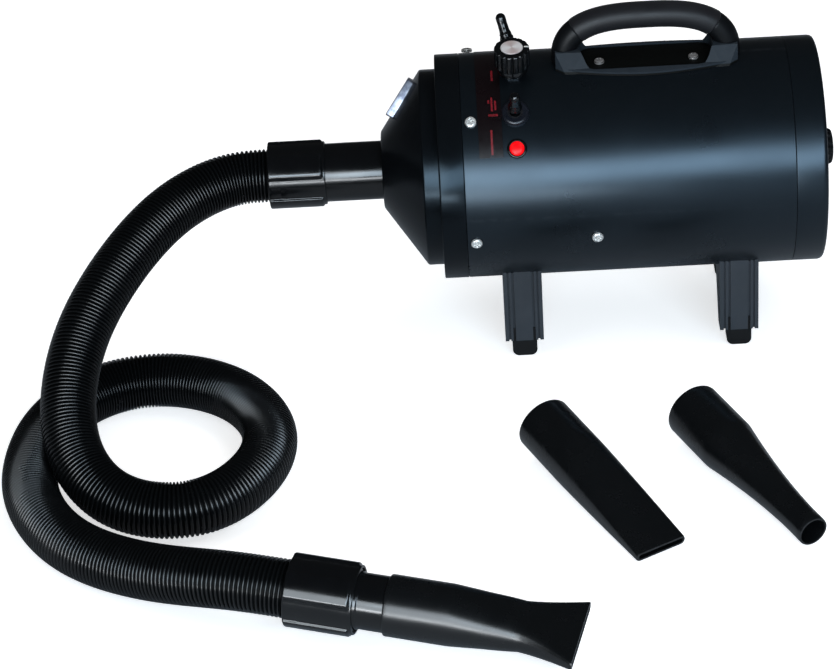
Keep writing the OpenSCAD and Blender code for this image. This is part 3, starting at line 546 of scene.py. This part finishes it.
def cuff(name, fr, length, stands, bore):
    """A sleeve with four raised lands. The hose ends at the stop inside it."""
    base, stop_r = CUFF_R - LAND, HOSE_R - 2.6
    profile = soft([(stop_r, 0), (base, 0), (base, length), (bore, length), (bore, CUFF_STOP),
                    (stop_r, CUFF_STOP)],
                   [0, 1.4, 0.9, 0.5, 0, 0], 4)
    cut = [0.0, 1.2, 2.4, 3.4, 9.6, 10.4] + list(np.linspace(12, length - 8, 8))
    cut += [length - back for back in (4.5, 3.6, 2.8, 2.0)]
    full = []
    for i, (r, z) in enumerate(profile):
        full.append((r, z))
        r2, z2 = profile[(i + 1) % len(profile)]
        if abs(r - base) < 0.01 and abs(r2 - base) < 0.01 and z2 > z:
            full += [(base, c) for c in cut if z + 0.2 < c < z2 - 0.2]
    corners = [math.radians(a) for a in (45, 135, 225, 315)]

    def shape(t, r, z):
        if r < base - 0.9 or bore + 0.6 > r:
            return r
        off = min(abs((t - c + math.pi) % (2 * math.pi) - math.pi) for c in corners)
        across = 1 - smooth(math.degrees(off), LAND_FROM, LAND_TO)
        land = across * (1 - smooth(z, length - 3.4, length - 1.8)) * smooth(z, -0.6, 0.9)
        groove = 0.45 * math.exp(-(((z - CUFF_STOP) / 0.7) ** 2)) * (1 - land)
        return r + LAND * land - groove

    flank = [22.1, 22.8, 23.5, 24.2, 24.9]
    top = [5, 10, 16]
    quarter = [-a for a in (flank + top)] + [0] + top + flank + [29, 34, 39.5, 45, 51, 56, 61]
    th = [math.radians(45 + 90 * c + a) for c in range(4) for a in sorted(quarter)]
    th = np.array(sorted(t % (2 * math.pi) for t in th))
    v = []
    for r, z in full:
        rr = np.array([shape(t, r, z) for t in th])
        v += list(fr(np.stack([rr * np.cos(th), rr * np.sin(th), np.full(len(th), float(z))], 1)))
    f = grid_faces(len(full), len(th), wrap_rows=True)
    return piece(name, v, f, "hose_set", gloss_black, stands, angle=50, slot="nozzle_plastic")


WAND = along(ROUTE[-1], np.subtract(ROUTE[-1], ROUTE[-2]))
cuff("cuff_front_shell", axis_at(ROUTE[0][0]), CUFF_LEN, ["hose_cuff_front"], 23.55)
cuff("cuff_rear_shell", WAND, REAR_CUFF_LEN, ["hose_cuff_rear"], 23.5)

WAND_END = NOZZLE_START + 33.5
wand_profile = soft([
    (WAND_R - 1.8, 12), (23.4, 12), (23.4, REAR_CUFF_LEN - 1.4), (21.4, REAR_CUFF_LEN - 0.6),
    (21.2, REAR_CUFF_LEN + 1.6), (WAND_R, REAR_CUFF_LEN + 2.4), (WAND_R, WAND_END),
    (WAND_R - 1.8, WAND_END),
], [0, 0.4, 0.4, 0.3, 0.3, 0.5, 0.7, 0.3], 3)
piece("wand_sleeve", *lathe(wand_profile, WAND, 96), "hose_set", gloss_black, ["wand_tube"],
      slot="nozzle_plastic")


def section(w, h, rc, n=18):
    """Rounded rectangle of 4n points, w across (local y) and h high (local x)."""
    rc = min(rc, w / 2, h / 2)
    pts = []
    for q, (sx, sy) in enumerate(((1, 1), (-1, 1), (-1, -1), (1, -1))):
        for k in range(n):
            a = math.pi / 2 * (q + (k + 0.5) / n)
            pts.append((sx * (h / 2 - rc) + rc * math.cos(a), sy * (w / 2 - rc) + rc * math.sin(a)))
    return np.array(pts)


NOZZLE_R, WALL, SOCKET_R = 22.5, 1.7, 20.6
MOUTH = [(0.0, 43.8, 43.8, 21.9), (0.35, 44.6, 44.6, 22.3), (1.0, 45, 45, NOZZLE_R)]


def straight(to):
    """The round part of a flat nozzle, from its mouth to where it starts to change."""
    return MOUTH + [(z, 45, 45, NOZZLE_R) for z in np.linspace(4, to, 9)]


def nozzle(name, fr, sizes, socket, body, stands):
    """sizes: (z, width, height, corner radius) from the socket's mouth to the tip. socket is how deep
    the socket goes. Beyond it the inside follows the outside."""
    outer, inner = [], []
    for z, w, h, rc in sizes:
        p = section(w, h, rc)
        outer.append(fr(np.column_stack([p, np.full(len(p), z)])))
    z0 = sizes[0][0]
    for z, r in ((z0, SOCKET_R + 0.5), (z0 + 0.6, SOCKET_R), (socket, SOCKET_R)):
        p = section(2 * r, 2 * r, r)
        inner.append(fr(np.column_stack([p, np.full(len(p), z)])))
    for z, w, h, rc in sizes:
        if z < socket:
            continue
        p = section(w - 2 * WALL, h - 2 * WALL, max(rc - WALL, 0.4))
        inner.append(fr(np.column_stack([p, np.full(len(p), max(z, socket + 0.5))])))
    return piece(name, *shell(outer, inner), body, nozzle_black, stands, angle=60, slot="nozzle_plastic")


FAN_STRAIGHT, FAN_NECK, FAN_LEN = 46, 98, 140.0
fan = straight(FAN_STRAIGHT)
for z in np.linspace(48, FAN_NECK, 22):
    t = (z - FAN_STRAIGHT) / (FAN_NECK - FAN_STRAIGHT)
    e = t * t * (3 - 2 * t) * 0.5 + t * 0.5
    fan.append((z, 45 - e, 45 - 20 * t, NOZZLE_R - 10 * e))
for z in list(np.linspace(100.5, 137, 18)) + [138.6, 139.6, FAN_LEN]:
    t = (z - FAN_NECK) / (FAN_LEN - FAN_NECK)
    rc = 12.5 - 9.3 * t ** 0.8
    end = 0.25 * smooth(z, 139, 140)
    fan.append((z, 44 + 30 * t ** 1.35 - 2 * end, 25 - 17 * t - 2 * end, rc))
nozzle("fan_shell", Frame(WAND([(0, 0, NOZZLE_START)])[0], *WAND.b), fan, 36, "fan_tip", ["fan_nozzle"])

SLOT_H, FLAT_LEN, FLAT_STRAIGHT = 8.0, 160.0, 44.0
ROUND_LEN, ROUND_STRAIGHT, TIP_R, TIP_LEN = 166.0, 50.0, 12.0, 14


def resting(x, y, heading, length, full_to, end_half):
    """Where a loose nozzle lies with its underside on the floor, tipped forwards on its taper."""
    slope = math.atan((NOZZLE_R - end_half) / (length - full_to))
    z = full_to * math.sin(slope) + NOZZLE_R * math.cos(slope) + 0.05
    a = math.radians(heading)
    flat, drop = math.cos(slope), math.sin(slope)
    return along((x, y, z), (math.cos(a) * flat, math.sin(a) * flat, -drop))


flat = straight(FLAT_STRAIGHT)
for z in list(np.linspace(46, 157, 34)) + [158.8, 159.7, FLAT_LEN]:
    t = (z - FLAT_STRAIGHT) / (FLAT_LEN - FLAT_STRAIGHT)
    end = 0.25 * smooth(z, 159.2, 160)
    flat.append((z, 45 - 2 * t - 2 * end, 45 - 37 * t - 2 * end, NOZZLE_R - 19.3 * t ** 0.85))
nozzle("flat_shell", resting(51, -203, -59.7, FLAT_LEN, FLAT_STRAIGHT, SLOT_H / 2), flat, 30, "flat_tip",
       ["flat_nozzle"])


def taper(z):
    """The round nozzle's outer radius."""
    t = (z - ROUND_STRAIGHT) / (ROUND_LEN - TIP_LEN - ROUND_STRAIGHT)
    return TIP_R + (NOZZLE_R - TIP_R) * (1 - np.clip(t, 0, 1)) ** 1.7 if t > 0 else NOZZLE_R


zs = list(np.linspace(46, 152, 40))
outer = [(22.0, 0.0), (22.35, 0.4), (NOZZLE_R, 1.0)] + [(NOZZLE_R, z) for z in (6, 16, 28, 40)]
outer += [(float(taper(z)), z) for z in zs] + [(12.0, 158), (12.15, 161.5), (12.0, 165.4), (11.75, 166)]
inner = [(10.4, 166), (10.2, 165.4)] + [(float(taper(z)) - 1.8, z) for z in zs[::-1]]
inner += [(19.5, 30), (SOCKET_R, 29.9), (SOCKET_R, 0.8), (21.1, 0)]
round_at = resting(167, -192, -62.7, ROUND_LEN, ROUND_STRAIGHT, TIP_R)
piece("round_shell", *lathe(outer + inner, round_at, 112), "round_tip", nozzle_black, ["round_nozzle"],
      angle=60, slot="nozzle_plastic")

tuple(place(ROUTE[0]))
[tuple(p) for p in place(hose_path[::8])]

# ---------------------------------------------------------------- tube, caps and rings

SHEET = 1.2
bore_r = TUBE_R - SHEET
tube_profile = soft([(TUBE_R, 0), (TUBE_R, TUBE_LEN), (bore_r, TUBE_LEN), (bore_r, 0)], 0.45, 3)
piece("tube_skin", *lathe(tube_profile, axis_at(0), 256), "dryer", paint, ["body_tube"],
      slot="tube_paint")

# The cap's cone, from the spigot to the shoulder. PLUG_R is the wall that fits inside the tube.
CONE_S, CONE_R, SHOULDER_S, SHOULDER_R, PLUG_R = -65.4, 30.5, -32, 78.5, 88.7
cap_profile = soft([
    (23.6, CONE_S), (CONE_R, CONE_S), (SHOULDER_R, SHOULDER_S), (SHOULDER_R, -19.5), (90, -19.5),
    (90, -0.25), (PLUG_R, -0.05), (PLUG_R, 14), (85.7, 14), (85.7, -16.5), (75.5, -16.5), (75.5, -30.5),
    (28.5, -62.4), (23.6, -62.4),
], [0.4, 1.6, 1.3, 0.8, 1.0, 0.55, 0.2, 0.4, 0.3, 0.5, 0.5, 1.0, 1.0, 0.3], 4)
piece("cap_shell", *lathe(cap_profile, axis_at(0), 224), "dryer", cap_gloss, ["front_cap"],
      slot="cap_plastic")

spigot_profile = soft([
    (21.5, -145), (23.5, -145), (23.5, -62.4), (27, -62.4), (27, -60.4), (21.5, -60.4),
], [0.4, 0.7, 0, 0.4, 0.4, 0.3], 3)
piece("spigot_shell", *lathe(spigot_profile, axis_at(0), 128), "dryer", gloss_black, ["outlet_spigot"],
      slot="black_plastic")

END_S = TUBE_LEN + 25
ring_profile = soft([
    (PLUG_R, TUBE_LEN - 12), (PLUG_R, TUBE_LEN + 0.05), (90, TUBE_LEN + 0.25), (90, END_S - 3.2),
    (89.1, END_S - 0.9), (87.2, END_S), (86, END_S - 1.2), (86, TUBE_LEN + 8), (80, TUBE_LEN + 8),
    (80, TUBE_LEN + 5), (85.7, TUBE_LEN + 5), (85.7, TUBE_LEN - 12),
], [0.3, 0.1, 0.5, 1.5, 1.0, 1.0, 0.8, 0.3, 0.3, 0.3, 0.3, 0.3], 4)
piece("rear_ring_shell", *lathe(ring_profile, axis_at(0), 224), "dryer", paint, ["rear_ring"],
      slot="cap_plastic")


def scallops(count, deep, sharp, r0):
    """A shape for lathe(), with grooves along everything outside the radius r0."""
    def shape(t, r, z):
        if r < r0:
            return r
        w = (0.5 + 0.5 * math.cos(count * t)) ** sharp
        return r - deep * w * (r - r0 + 0.01) / (r - r0 + 0.5)
    return shape


knob_profile = soft([
    (3.05, 0), (14.3, 0), (15, 1.2), (15, 12.6), (13.6, 16), (9.5, 17), (0.02, 17), (0.02, 12.5),
    (3.05, 12.5),
], [0.2, 0.6, 0.5, 2.5, 1.6, 1.2, 0, 0, 0], 4)
knob_mesh = lathe(knob_profile, axis_at(END_S - 4), 144, shape=scallops(12, 1.5, 3, 12.0))
piece("cover_knob_shell", *knob_mesh, "cover_screw", satin_black, ["cover_knob"], slot="black_plastic")

# ---------------------------------------------------------------- plate on the cone

PLATE_AT, PLATE_PHI = 0.54, -26
cone_long, cone_high = SHOULDER_S - CONE_S, SHOULDER_R - CONE_R
slope = math.atan2(cone_long, cone_high)
mid_s, mid_r = CONE_S + cone_long * PLATE_AT, CONE_R + cone_high * PLATE_AT
a = math.radians(PLATE_PHI)
# the plate lies square to the cone's outward normal, which points forwards and outwards
normal = np.array([-math.cos(slope), 0, math.sin(slope)])
rise = np.array([math.sin(slope), 0, math.cos(slope)])
rot = np.array([[1, 0, 0], [0, math.cos(a), -math.sin(a)], [0, math.sin(a), math.cos(a)]])
plate_frame = Frame(np.array([0, 0, AXIS_H]) + rot @ np.array([mid_s, 0, mid_r]), rot @ rise,
                    rot @ np.array([0, 1.0, 0]), rot @ normal)


def plate_mesh():
    """Local x runs up the cone and y round it. The face is sunk a little inside its rim."""
    half_w, half_h = 17.0, 20.0
    rings = []
    for z, inset, rc in ((-2.2, 0.0, 2.0), (3.3, 0.0, 2.0), (3.8, 0.15, 2.0), (4.0, 0.6, 1.8),
                         (4.0, 2.0, 1.4), (3.65, 2.5, 1.2), (3.65, 3.4, 1.0)):
        pts = section(2 * (half_h - inset), 2 * (half_w - inset), rc, 6)
        rings.append(plate_frame(np.column_stack([pts, np.full(len(pts), z)])))
    return loft(rings)


piece("plate_shell", *plate_mesh(), "dryer", plate_silver, ["name_plate"], angle=30,
      slot="silver_plate")

# ---------------------------------------------------------------- handle

BOW_MID, BOW_HALF, RISE, GRIP_R = 147.5, 64.5, 126.5, 10.5
BOW_BASE = TUBE_R + 1.0
SLEEVE_FROM, SLEEVE_TO = 39.0, 141.0


def bow_point(deg):
    """The middle of the bow, a squared arch from 0 at its front foot to 180 at its rear foot."""
    c, s = math.cos(math.radians(deg)), math.sin(math.radians(deg))
    return np.array([BOW_MID - BOW_HALF * math.copysign(abs(c) ** 0.72, c), 0,
                     AXIS_H + BOW_BASE + (RISE - BOW_BASE) * abs(s) ** 0.78])


angles = np.r_[0, 1.2, 3, 5.5, np.linspace(9, 171, 163), 174.5, 177, 178.8, 180]
bow = np.array([bow_point(d) for d in angles])
bow_r = np.array([GRIP_R - 1.9 + 1.5 * smooth(abs(d - 90), 49.5, 50.6) for d in angles])
piece("bow_rod", *tube_along(bow, bow_r, up=(0, 1, 0)), "dryer", satin_black, ["handle_bow"],
      angle=50, slot="black_plastic")
sleeve_deg = np.linspace(SLEEVE_FROM, SLEEVE_TO, 97)
sleeve = np.array([bow_point(d) for d in sleeve_deg])
edge = np.minimum(sleeve_deg - SLEEVE_FROM, SLEEVE_TO - sleeve_deg)
sleeve_r = GRIP_R - 0.8 * (1 - smooth(edge, -0.2, 1.1))
_, side_a, side_b = carried(sleeve, (0, 1, 0))
round_sleeve = np.linspace(0, 2 * math.pi, 56, endpoint=False)


def sleeve_ring(i, r):
    c, s = np.cos(round_sleeve), np.sin(round_sleeve)
    return sleeve[i] + (r * c)[:, None] * side_a[i] + (r * s)[:, None] * side_b[i]


def grip_radius(i):
    """The finger side is slightly flattened."""
    return sleeve_r[i] * (1 - 0.035 * np.clip(-np.sin(round_sleeve), 0, 1) ** 2)


grip_outer = [sleeve_ring(i, grip_radius(i)) for i in range(len(sleeve))]
grip_inner = [sleeve_ring(i, np.full(len(round_sleeve), GRIP_R - 2.0)) for i in range(len(sleeve))]
piece("grip_sleeve", *shell(grip_outer, grip_inner), "dryer", grip_black, ["handle_grip"], angle=50,
      slot="grip_rubber")


SCREW_SEG, HEAD_RIM, HEAD_DOME, CROSS_DEEP = 64, 1.35, 1.55, 1.55


def pan_screw(name, frames, body, stands, r, shank, lifts, shank_r=1.9, metal=screw_steel):
    """Pan head screws with a cross recess, each lifted off its frame by its own height."""
    parts = []
    for fr, lift in zip(frames, lifts):
        profile = [(0.001, -shank), (shank_r, -shank), (shank_r, lift), (r - 0.15, lift),
                   (r, lift + 0.2), (r, lift + 1.0), (r * 0.97, lift + HEAD_RIM)]
        dome = [(r * q, lift + HEAD_RIM + HEAD_DOME * math.sqrt(max(0.0, 1 - (q / 0.99) ** 2.4)))
                for q in np.linspace(0.95, 0.02, 30)]
        th = np.linspace(0, 2 * math.pi, SCREW_SEG, endpoint=False)
        reach, half = r * 0.62, r * 0.11

        def arm(u, v):
            """1 in the arm of the cross that runs along u, and 0 outside it."""
            across = 1 - smooth(np.abs(v), half, half + 0.28)
            return across * (1 - smooth(np.abs(u), reach - 0.5, reach))

        rows = []
        for ring_r, z in dome:
            x, y = ring_r * np.cos(th), ring_r * np.sin(th)
            deep = CROSS_DEEP - 0.75 * np.hypot(x, y) / reach
            rows.append(fr(np.stack([x, y, z - np.maximum(arm(x, y), arm(y, x)) * deep], 1)))
        dome_v, dome_f = loft([list(row) for row in rows], caps=False)
        dome_f.append(tuple((len(rows) - 1) * SCREW_SEG + k for k in range(SCREW_SEG)))
        parts.append(join(lathe(profile, fr, SCREW_SEG, closed=False), (dome_v, dome_f)))
    return piece(name, *join(*parts), body, metal, stands, angle=45, weld=0.004, slot="screw_steel")


def spun(fr, deg):
    """The frame turned about its own z."""
    c, s = math.cos(math.radians(deg)), math.sin(math.radians(deg))
    return Frame(fr.o, c * fr.b[0] + s * fr.b[1], -s * fr.b[0] + c * fr.b[1], fr.b[2])


RING_SCREW_PHI = (39.5, -39.5, 103.5, -103.5, 180)
MOTOR_SCREW_PHI = (103.5, -103.5)
HANDLE_SCREW_S = (110.5, 184.5)
ring_at = [spun(skin(7, phi), 20 + 37 * k) for k, phi in enumerate(RING_SCREW_PHI)]
mount_at = [spun(skin(102, phi), 15 + 50 * k) for k, phi in enumerate(MOTOR_SCREW_PHI)]
handle_at = [spun(skin(s, 5, 1.0), 30 + s) for s in HANDLE_SCREW_S]
pan_screw("ring_screw_set", ring_at, "dryer", ["ring_screws"], 4.5, 6, (0.2, 3.0, 0.2, 0.2, 0.2))
pan_screw("mount_screw_set", mount_at, "dryer", ["mount_screws"], 4.5, 8, (0.2, 0.2))
pan_screw("handle_screw_set", handle_at, "dryer", ["handle_screws"], 4.0, 12, (0.0, 0.0), 2.0,
          shaded_steel)

# ---------------------------------------------------------------- controls

knob_at = skin(CONTROL_S, KNOB_PHI)
KNOB_R, SEAT_R, SEAT_Z = 14.0, 8.8, 24.8
body_profile = soft([
    (3.0, 3.5), (KNOB_R * 0.86, 3.5), (KNOB_R * 0.83, 6.2), (KNOB_R * 0.78, 8.6), (KNOB_R - 0.5, 9.3),
    (KNOB_R, 10.4), (KNOB_R, 24.8), (KNOB_R - 1.3, 26), (9.3, 26), (SEAT_R, 25.6), (SEAT_R, SEAT_Z),
    (0.02, SEAT_Z), (0.02, 20), (3.0, 20),
], [0.1, 0.5, 0.6, 0.6, 0.5, 0.5, 0.9, 0.8, 0.3, 0.1, 0.1, 0, 0, 0], 3)


def fluted(t, r, z):
    """Sixteen flutes down the knob's grip, above its skirt."""
    if z < 8.4 or r < KNOB_R - 2.2:
        return r
    w = (0.5 + 0.5 * math.cos(16 * t)) ** 4
    return r - 1.25 * w * smooth(z, 8.6, 9.8) * (1 if z < 25.2 else 0.5)


piece("knob_body", *lathe(body_profile, knob_at, 256, shape=fluted), "knob", gloss_black,
      ["speed_knob"], angle=45, slot="knob_plastic")
disc_profile = soft([(0.02, SEAT_Z), (8.7, SEAT_Z), (8.7, 26.0), (7.9, KNOB_TOP), (0.02, 26.25)],
                    [0, 0.1, 0.4, 0.3, 0], 3)
piece("knob_cap_disc", *lathe(disc_profile, knob_at, 96), "knob", turned_metal_painted_fans(), ["knob_cap"],
      slot="knob_metal")


def slab(fr, x0, x1, y0, y1, z0, z1, r=0.4):
    """A block with rounded corners and a broken top edge."""
    middle = np.array([(x0 + x1) / 2, (y0 + y1) / 2])
    rings = []
    for z, inset in ((z0, 0.0), (z1 - 0.12, 0.0), (z1, 0.12)):
        pts = section(abs(y1 - y0) - 2 * inset, abs(x1 - x0) - 2 * inset, r, 3)
        rings.append(fr(np.column_stack([pts + middle, np.full(len(pts), z)])))
    return loft(rings)


piece("knob_tick", *slab(knob_at, 9.6, 13.4, -0.7, 0.7, 25.6, 26.15), "knob", tick_white,
      slot="knob_metal")


def switch_ring(name, phi, stands):
    """The knurled round nut that clamps a lever's boot, with its foot on the tube's curve."""
    profile = soft([(5.95, 0.0), (11, 0.0), (11, 2.4), (10.1, 3.7), (8.7, 4.4), (7.5, 4.05),
                    (5.95, 4.05)],
                   [0, 0.2, 0.6, 0.5, 0.5, 0.3, 0.2], 3)

    def shape(t, r, z):
        if r > 10.4 and 0.5 < z < 3.0:
            return r - 0.32 * (0.5 + 0.5 * math.cos(40 * t)) ** 2
        return r

    at = skin(CONTROL_S, phi)
    v, f = lathe(profile, at, 160, shape=shape)
    v = np.array(v)
    off = v - np.array([0, 0, AXIS_H])
    from_axis = np.hypot(off[:, 1], off[:, 2])
    foot = (np.abs(from_axis - TUBE_R) < 0.95) & ((v - at.o) @ at.b[2] < 0.3)
    k = TUBE_R / from_axis[foot]
    v[foot, 1] *= k
    v[foot, 2] = AXIS_H + (v[foot, 2] - AXIS_H) * k
    return piece(name, v, f, "dryer", ring_metal, stands, angle=40, slot="plain_steel")


switch_ring("heater_ring", HEATER_PHI, ["heater_switch_ring"])
switch_ring("power_ring", POWER_PHI, ["power_switch_ring"])


def toggle(name, phi, tilt, body, stands):
    """A lever in its ribbed boot, tilted along the tube."""
    at = skin(CONTROL_S, phi, 1.0)
    c, s = math.cos(math.radians(tilt)), math.sin(math.radians(tilt))
    fr = Frame(at.o, c * at.b[0] - s * at.b[2], at.b[1], s * at.b[0] + c * at.b[2])
    profile = [(0.02, -5), (1.9, -5), (2, -3.2), (3.5, -1.6), (3.9, 0), (3.4, 1.8), (2.7, 3.4),
               (3.0, 5.6), (4.6, 8.8), (5.55, 10.6), (5.6, 11.4), (5.1, 12.6), (4.7, 14.2),
               (4.95, 14.9), (4.55, 15.6), (4.15, 17.4), (4.0, 19)]
    profile += [(4.0 + 0.06 * math.sin(z), z) for z in np.linspace(20, 27.4, 8)]
    quarter_turn = np.linspace(0, math.pi / 2 - 0.02, 14)
    profile += [(4.05 * math.cos(q), 28 + 4.0 * math.sin(q)) for q in quarter_turn]
    return piece(name, *lathe(profile, fr, 72, closed=False), body, gloss_black, stands, angle=55,
                 weld=0.03, slot="toggle_boot")


toggle("heater_lever_boot", HEATER_PHI, -14, "heater_lever", ["heater_toggle"])
toggle("power_lever_boot", POWER_PHI, 0, "power_lever", ["power_toggle"])

lamp_at, LENS_R = skin(CONTROL_S, LAMP_PHI), 5.7
lens = [(0.02, 1.0), (5.6, 1.0), (LENS_R, 1.2), (LENS_R, 2.0)]
dome = np.linspace(0.12, math.pi / 2 - 0.01, 16)
lens += [(LENS_R * math.cos(q), 2.0 + 2.0 * math.sin(q)) for q in dome]
piece("lamp_dome", *lathe(lens, lamp_at, 72, closed=False), "dryer", lamp_glow(), ["lamp_lens"],
      angle=50, weld=0.01, slot="lamp_red")
bezel = soft([(4.15, -0.3), (7.8, -0.3), (7.8, 0.8), (6.9, 1.7), (5.8, 1.7), (5.8, 0.9), (4.15, 0.9)],
             [0, 0.1, 0.4, 0.4, 0.2, 0.1, 0], 3)
piece("lamp_collar", *lathe(bezel, lamp_at, 96), "dryer", gloss_black, ["lamp_bezel"],
      slot="black_plastic")

FILM = 0.4


def strip(s0, s1, phi0, phi1, out0, out1, n=24):
    """A thin curved patch on the tube, from out0 to out1 above its skin."""
    axis = np.array([0, 0, AXIS_H])
    rings = []
    for phi in np.linspace(phi0, phi1, n):
        a = math.radians(phi)
        outward = np.array([0, -math.sin(a), math.cos(a)])
        low, high = axis + outward * (TUBE_R + out0), axis + outward * (TUBE_R + out1)
        rings.append([low + (s0, 0, 0), high + (s0, 0, 0), high + (s1, 0, 0), low + (s1, 0, 0)])
    return loft(rings)


piece("label_strip", *strip(12.5, 31.2, -30, 58, -0.02, FILM, 64), "dryer", label_black,
      ["control_label"], slot="label_film")
# plain bars where the words are, as (s from, s to, phi from, phi to)
marks = [strip(*bar, FILM, 0.52, 12) for bar in (
    (24.6, 26.2, 7, 15), (21.0, 22.4, 27.5, 29.5), (23.4, 24.8, 26, 34), (26.2, 27.6, 28, 33.4),
    (21.0, 28.6, 35.6, 36.8), (22.0, 23.6, 44, 56.5))]
piece("label_marks", *join(*marks), "dryer", label_red, slot="label_film")
piece("label_edge", *strip(21.0, 30.4, 57.0, 57.8, FILM, 0.55, 6), "dryer", ring_metal,
      slot="label_film")

# ---------------------------------------------------------------- carried CAD nodes


def finish_node(name, mat, bevel=0.0, segments=2):
    """A new material, and softer edges, on a CAD node that is shown as it is."""
    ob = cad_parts[name]
    ob.data.materials.clear()
    ob.data.materials.append(mat)
    ob.data.polygons.foreach_set("use_smooth", [True] * len(ob.data.polygons))
    ob.data.set_sharp_from_angle(angle=math.radians(30))
    if bevel:
        edges = ob.modifiers.new("edges", "BEVEL")
        edges.width = bevel / 1000
        edges.segments = segments
        edges.limit_method = "ANGLE"
        edges.angle_limit = math.radians(32)
        edges.harden_normals = False


finish_node("handle_saddle", saddle_painted_light(), 0.7)
for corner in ("front_near", "front_far", "rear_near", "rear_far"):
    finish_node("foot_" + corner, foot_black, 0.5)
    finish_node("foot_tip_" + corner, rubber, 0.9)
finish_node("filter_grille", satin_black, 0.25, 1)
finish_node("cable_gland", satin_black, 0.3)
for mat, names in (
    (dull_steel, ("stud_bridge", "speed_pot", "pot_nut", "pot_shaft", "motor_can", "motor_bearings",
                  "motor_bracket", "motor_shaft")),
    (fan_metal, ("fan_housing", "thermal_cutout", "impeller")),
    (switch_black, ("heater_switch", "power_switch")), (screw_steel, ("foot_screws",)),
    (foam, ("filter_foam",)), (satin_black, ("lamp_body",)), (rubber, ("fan_gasket",)),
    (mica, ("heater_frame",)), (wire, ("heater_coil",)), (board, ("control_board",)),
    (copper, ("armature",)),
):
    for node_name in names:
        finish_node(node_name, mat)

# ---------------------------------------------------------------- floor, lights and world

scene = bpy.context.scene


def by_ray(tree, seen, reflected, surface):
    """The camera sees one shader, and everything else is lit by the other."""
    ray = tree.nodes.new("ShaderNodeLightPath")
    mix = tree.nodes.new("ShaderNodeMixShader")
    tree.links.new(ray.outputs["Is Camera Ray"], mix.inputs[0])
    tree.links.new(reflected.outputs[0], mix.inputs[1])
    tree.links.new(seen.outputs[0], mix.inputs[2])
    tree.links.new(mix.outputs[0], surface.inputs["Surface"])


def floor_paper():
    """White paper to look at, and a dim floor to reflect, as under a studio's black flags."""
    m = bpy.data.materials.new("floor_paper")
    m.use_nodes = True
    nt = m.node_tree
    white = nt.nodes["Principled BSDF"]
    white.inputs["Base Color"].default_value = (0.93, 0.93, 0.93, 1)
    white.inputs["Roughness"].default_value = 0.9
    white.inputs["Specular IOR Level"].default_value = 0.0
    white.inputs["Emission Color"].default_value = (1, 1, 1, 1)
    white.inputs["Emission Strength"].default_value = 0.66
    dim = nt.nodes.new("ShaderNodeBsdfDiffuse")
    dim.inputs["Color"].default_value = (0.5, 0.52, 0.55, 1)
    by_ray(nt, white, dim, nt.nodes["Material Output"])
    return m


FLOOR_Z = -0.0004
floor_mesh = bpy.data.meshes.new("floor")
corners = ((-6, -6), (6, -6), (6, 8), (-6, 8))
floor_mesh.from_pydata([(x, y, FLOOR_Z) for x, y in corners], [], [(0, 1, 2, 3)])
floor = bpy.data.objects.new("floor", floor_mesh)
scene.collection.objects.link(floor)
floor_mesh.materials.append(floor_paper())

CENTRE = place((60, -120, 60))


def softbox(name, azimuth, elevation, distance, width, height, power, color=(1, 1, 1), roll=0,
            mirrored=True, lit=True):
    """azimuth 0 is the viewer's side, 90 the right-hand side. mirrored says whether gloss
    shows it, and lit whether it lights matt surfaces."""
    data = bpy.data.lights.new(name, "AREA")
    data.shape = "RECTANGLE"
    data.size, data.size_y = width, height
    data.energy = power
    data.color = color
    ob = bpy.data.objects.new(name, data)
    az, el = math.radians(azimuth), math.radians(elevation)
    back = np.array([math.sin(az) * math.cos(el), -math.cos(az) * math.cos(el), math.sin(el)])
    side = np.cross((0, 0, 1), back)
    side /= np.linalg.norm(side)
    facing = Matrix((side, np.cross(back, side), back)).transposed().to_4x4()
    turn = Matrix.Rotation(math.radians(roll), 4, "Z")
    ob.matrix_world = Matrix.Translation(CENTRE + back * distance) @ facing @ turn
    ob.visible_camera = False
    ob.visible_glossy = mirrored
    ob.visible_diffuse = lit
    scene.collection.objects.link(ob)


softbox("front_box", 10, 21.5, 2.6, 2.2, 0.86, 62, (0.70, 0.86, 1.0), roll=12)
softbox("tall_box", -22, 17, 2.6, 1.25, 1.4, 42, (0.84, 0.93, 1.0), lit=False)
softbox("low_box", -16, 1, 1.3, 0.8, 0.13, 5, (0.92, 0.96, 1.0), lit=False)
softbox("left_box", -70, 52, 2.6, 1.6, 1.6, 14, mirrored=False)
softbox("right_box", 70, 52, 2.6, 1.6, 1.6, 18, mirrored=False)
softbox("top_box", 170, 70, 2.8, 1.6, 1.6, 14, mirrored=False)

world = bpy.data.worlds.new("studio")
scene.world = world
world.use_nodes = True
dark = world.node_tree.nodes["Background"]
dark.inputs["Color"].default_value = (0.9, 0.95, 1.0, 1)
dark.inputs["Strength"].default_value = 0.03
pale = world.node_tree.nodes.new("ShaderNodeBackground")
pale.inputs["Color"].default_value = (1, 1, 1, 1)
pale.inputs["Strength"].default_value = 1.0
by_ray(world.node_tree, pale, dark, world.node_tree.nodes["World Output"])
scene.view_settings.view_transform = "Standard"
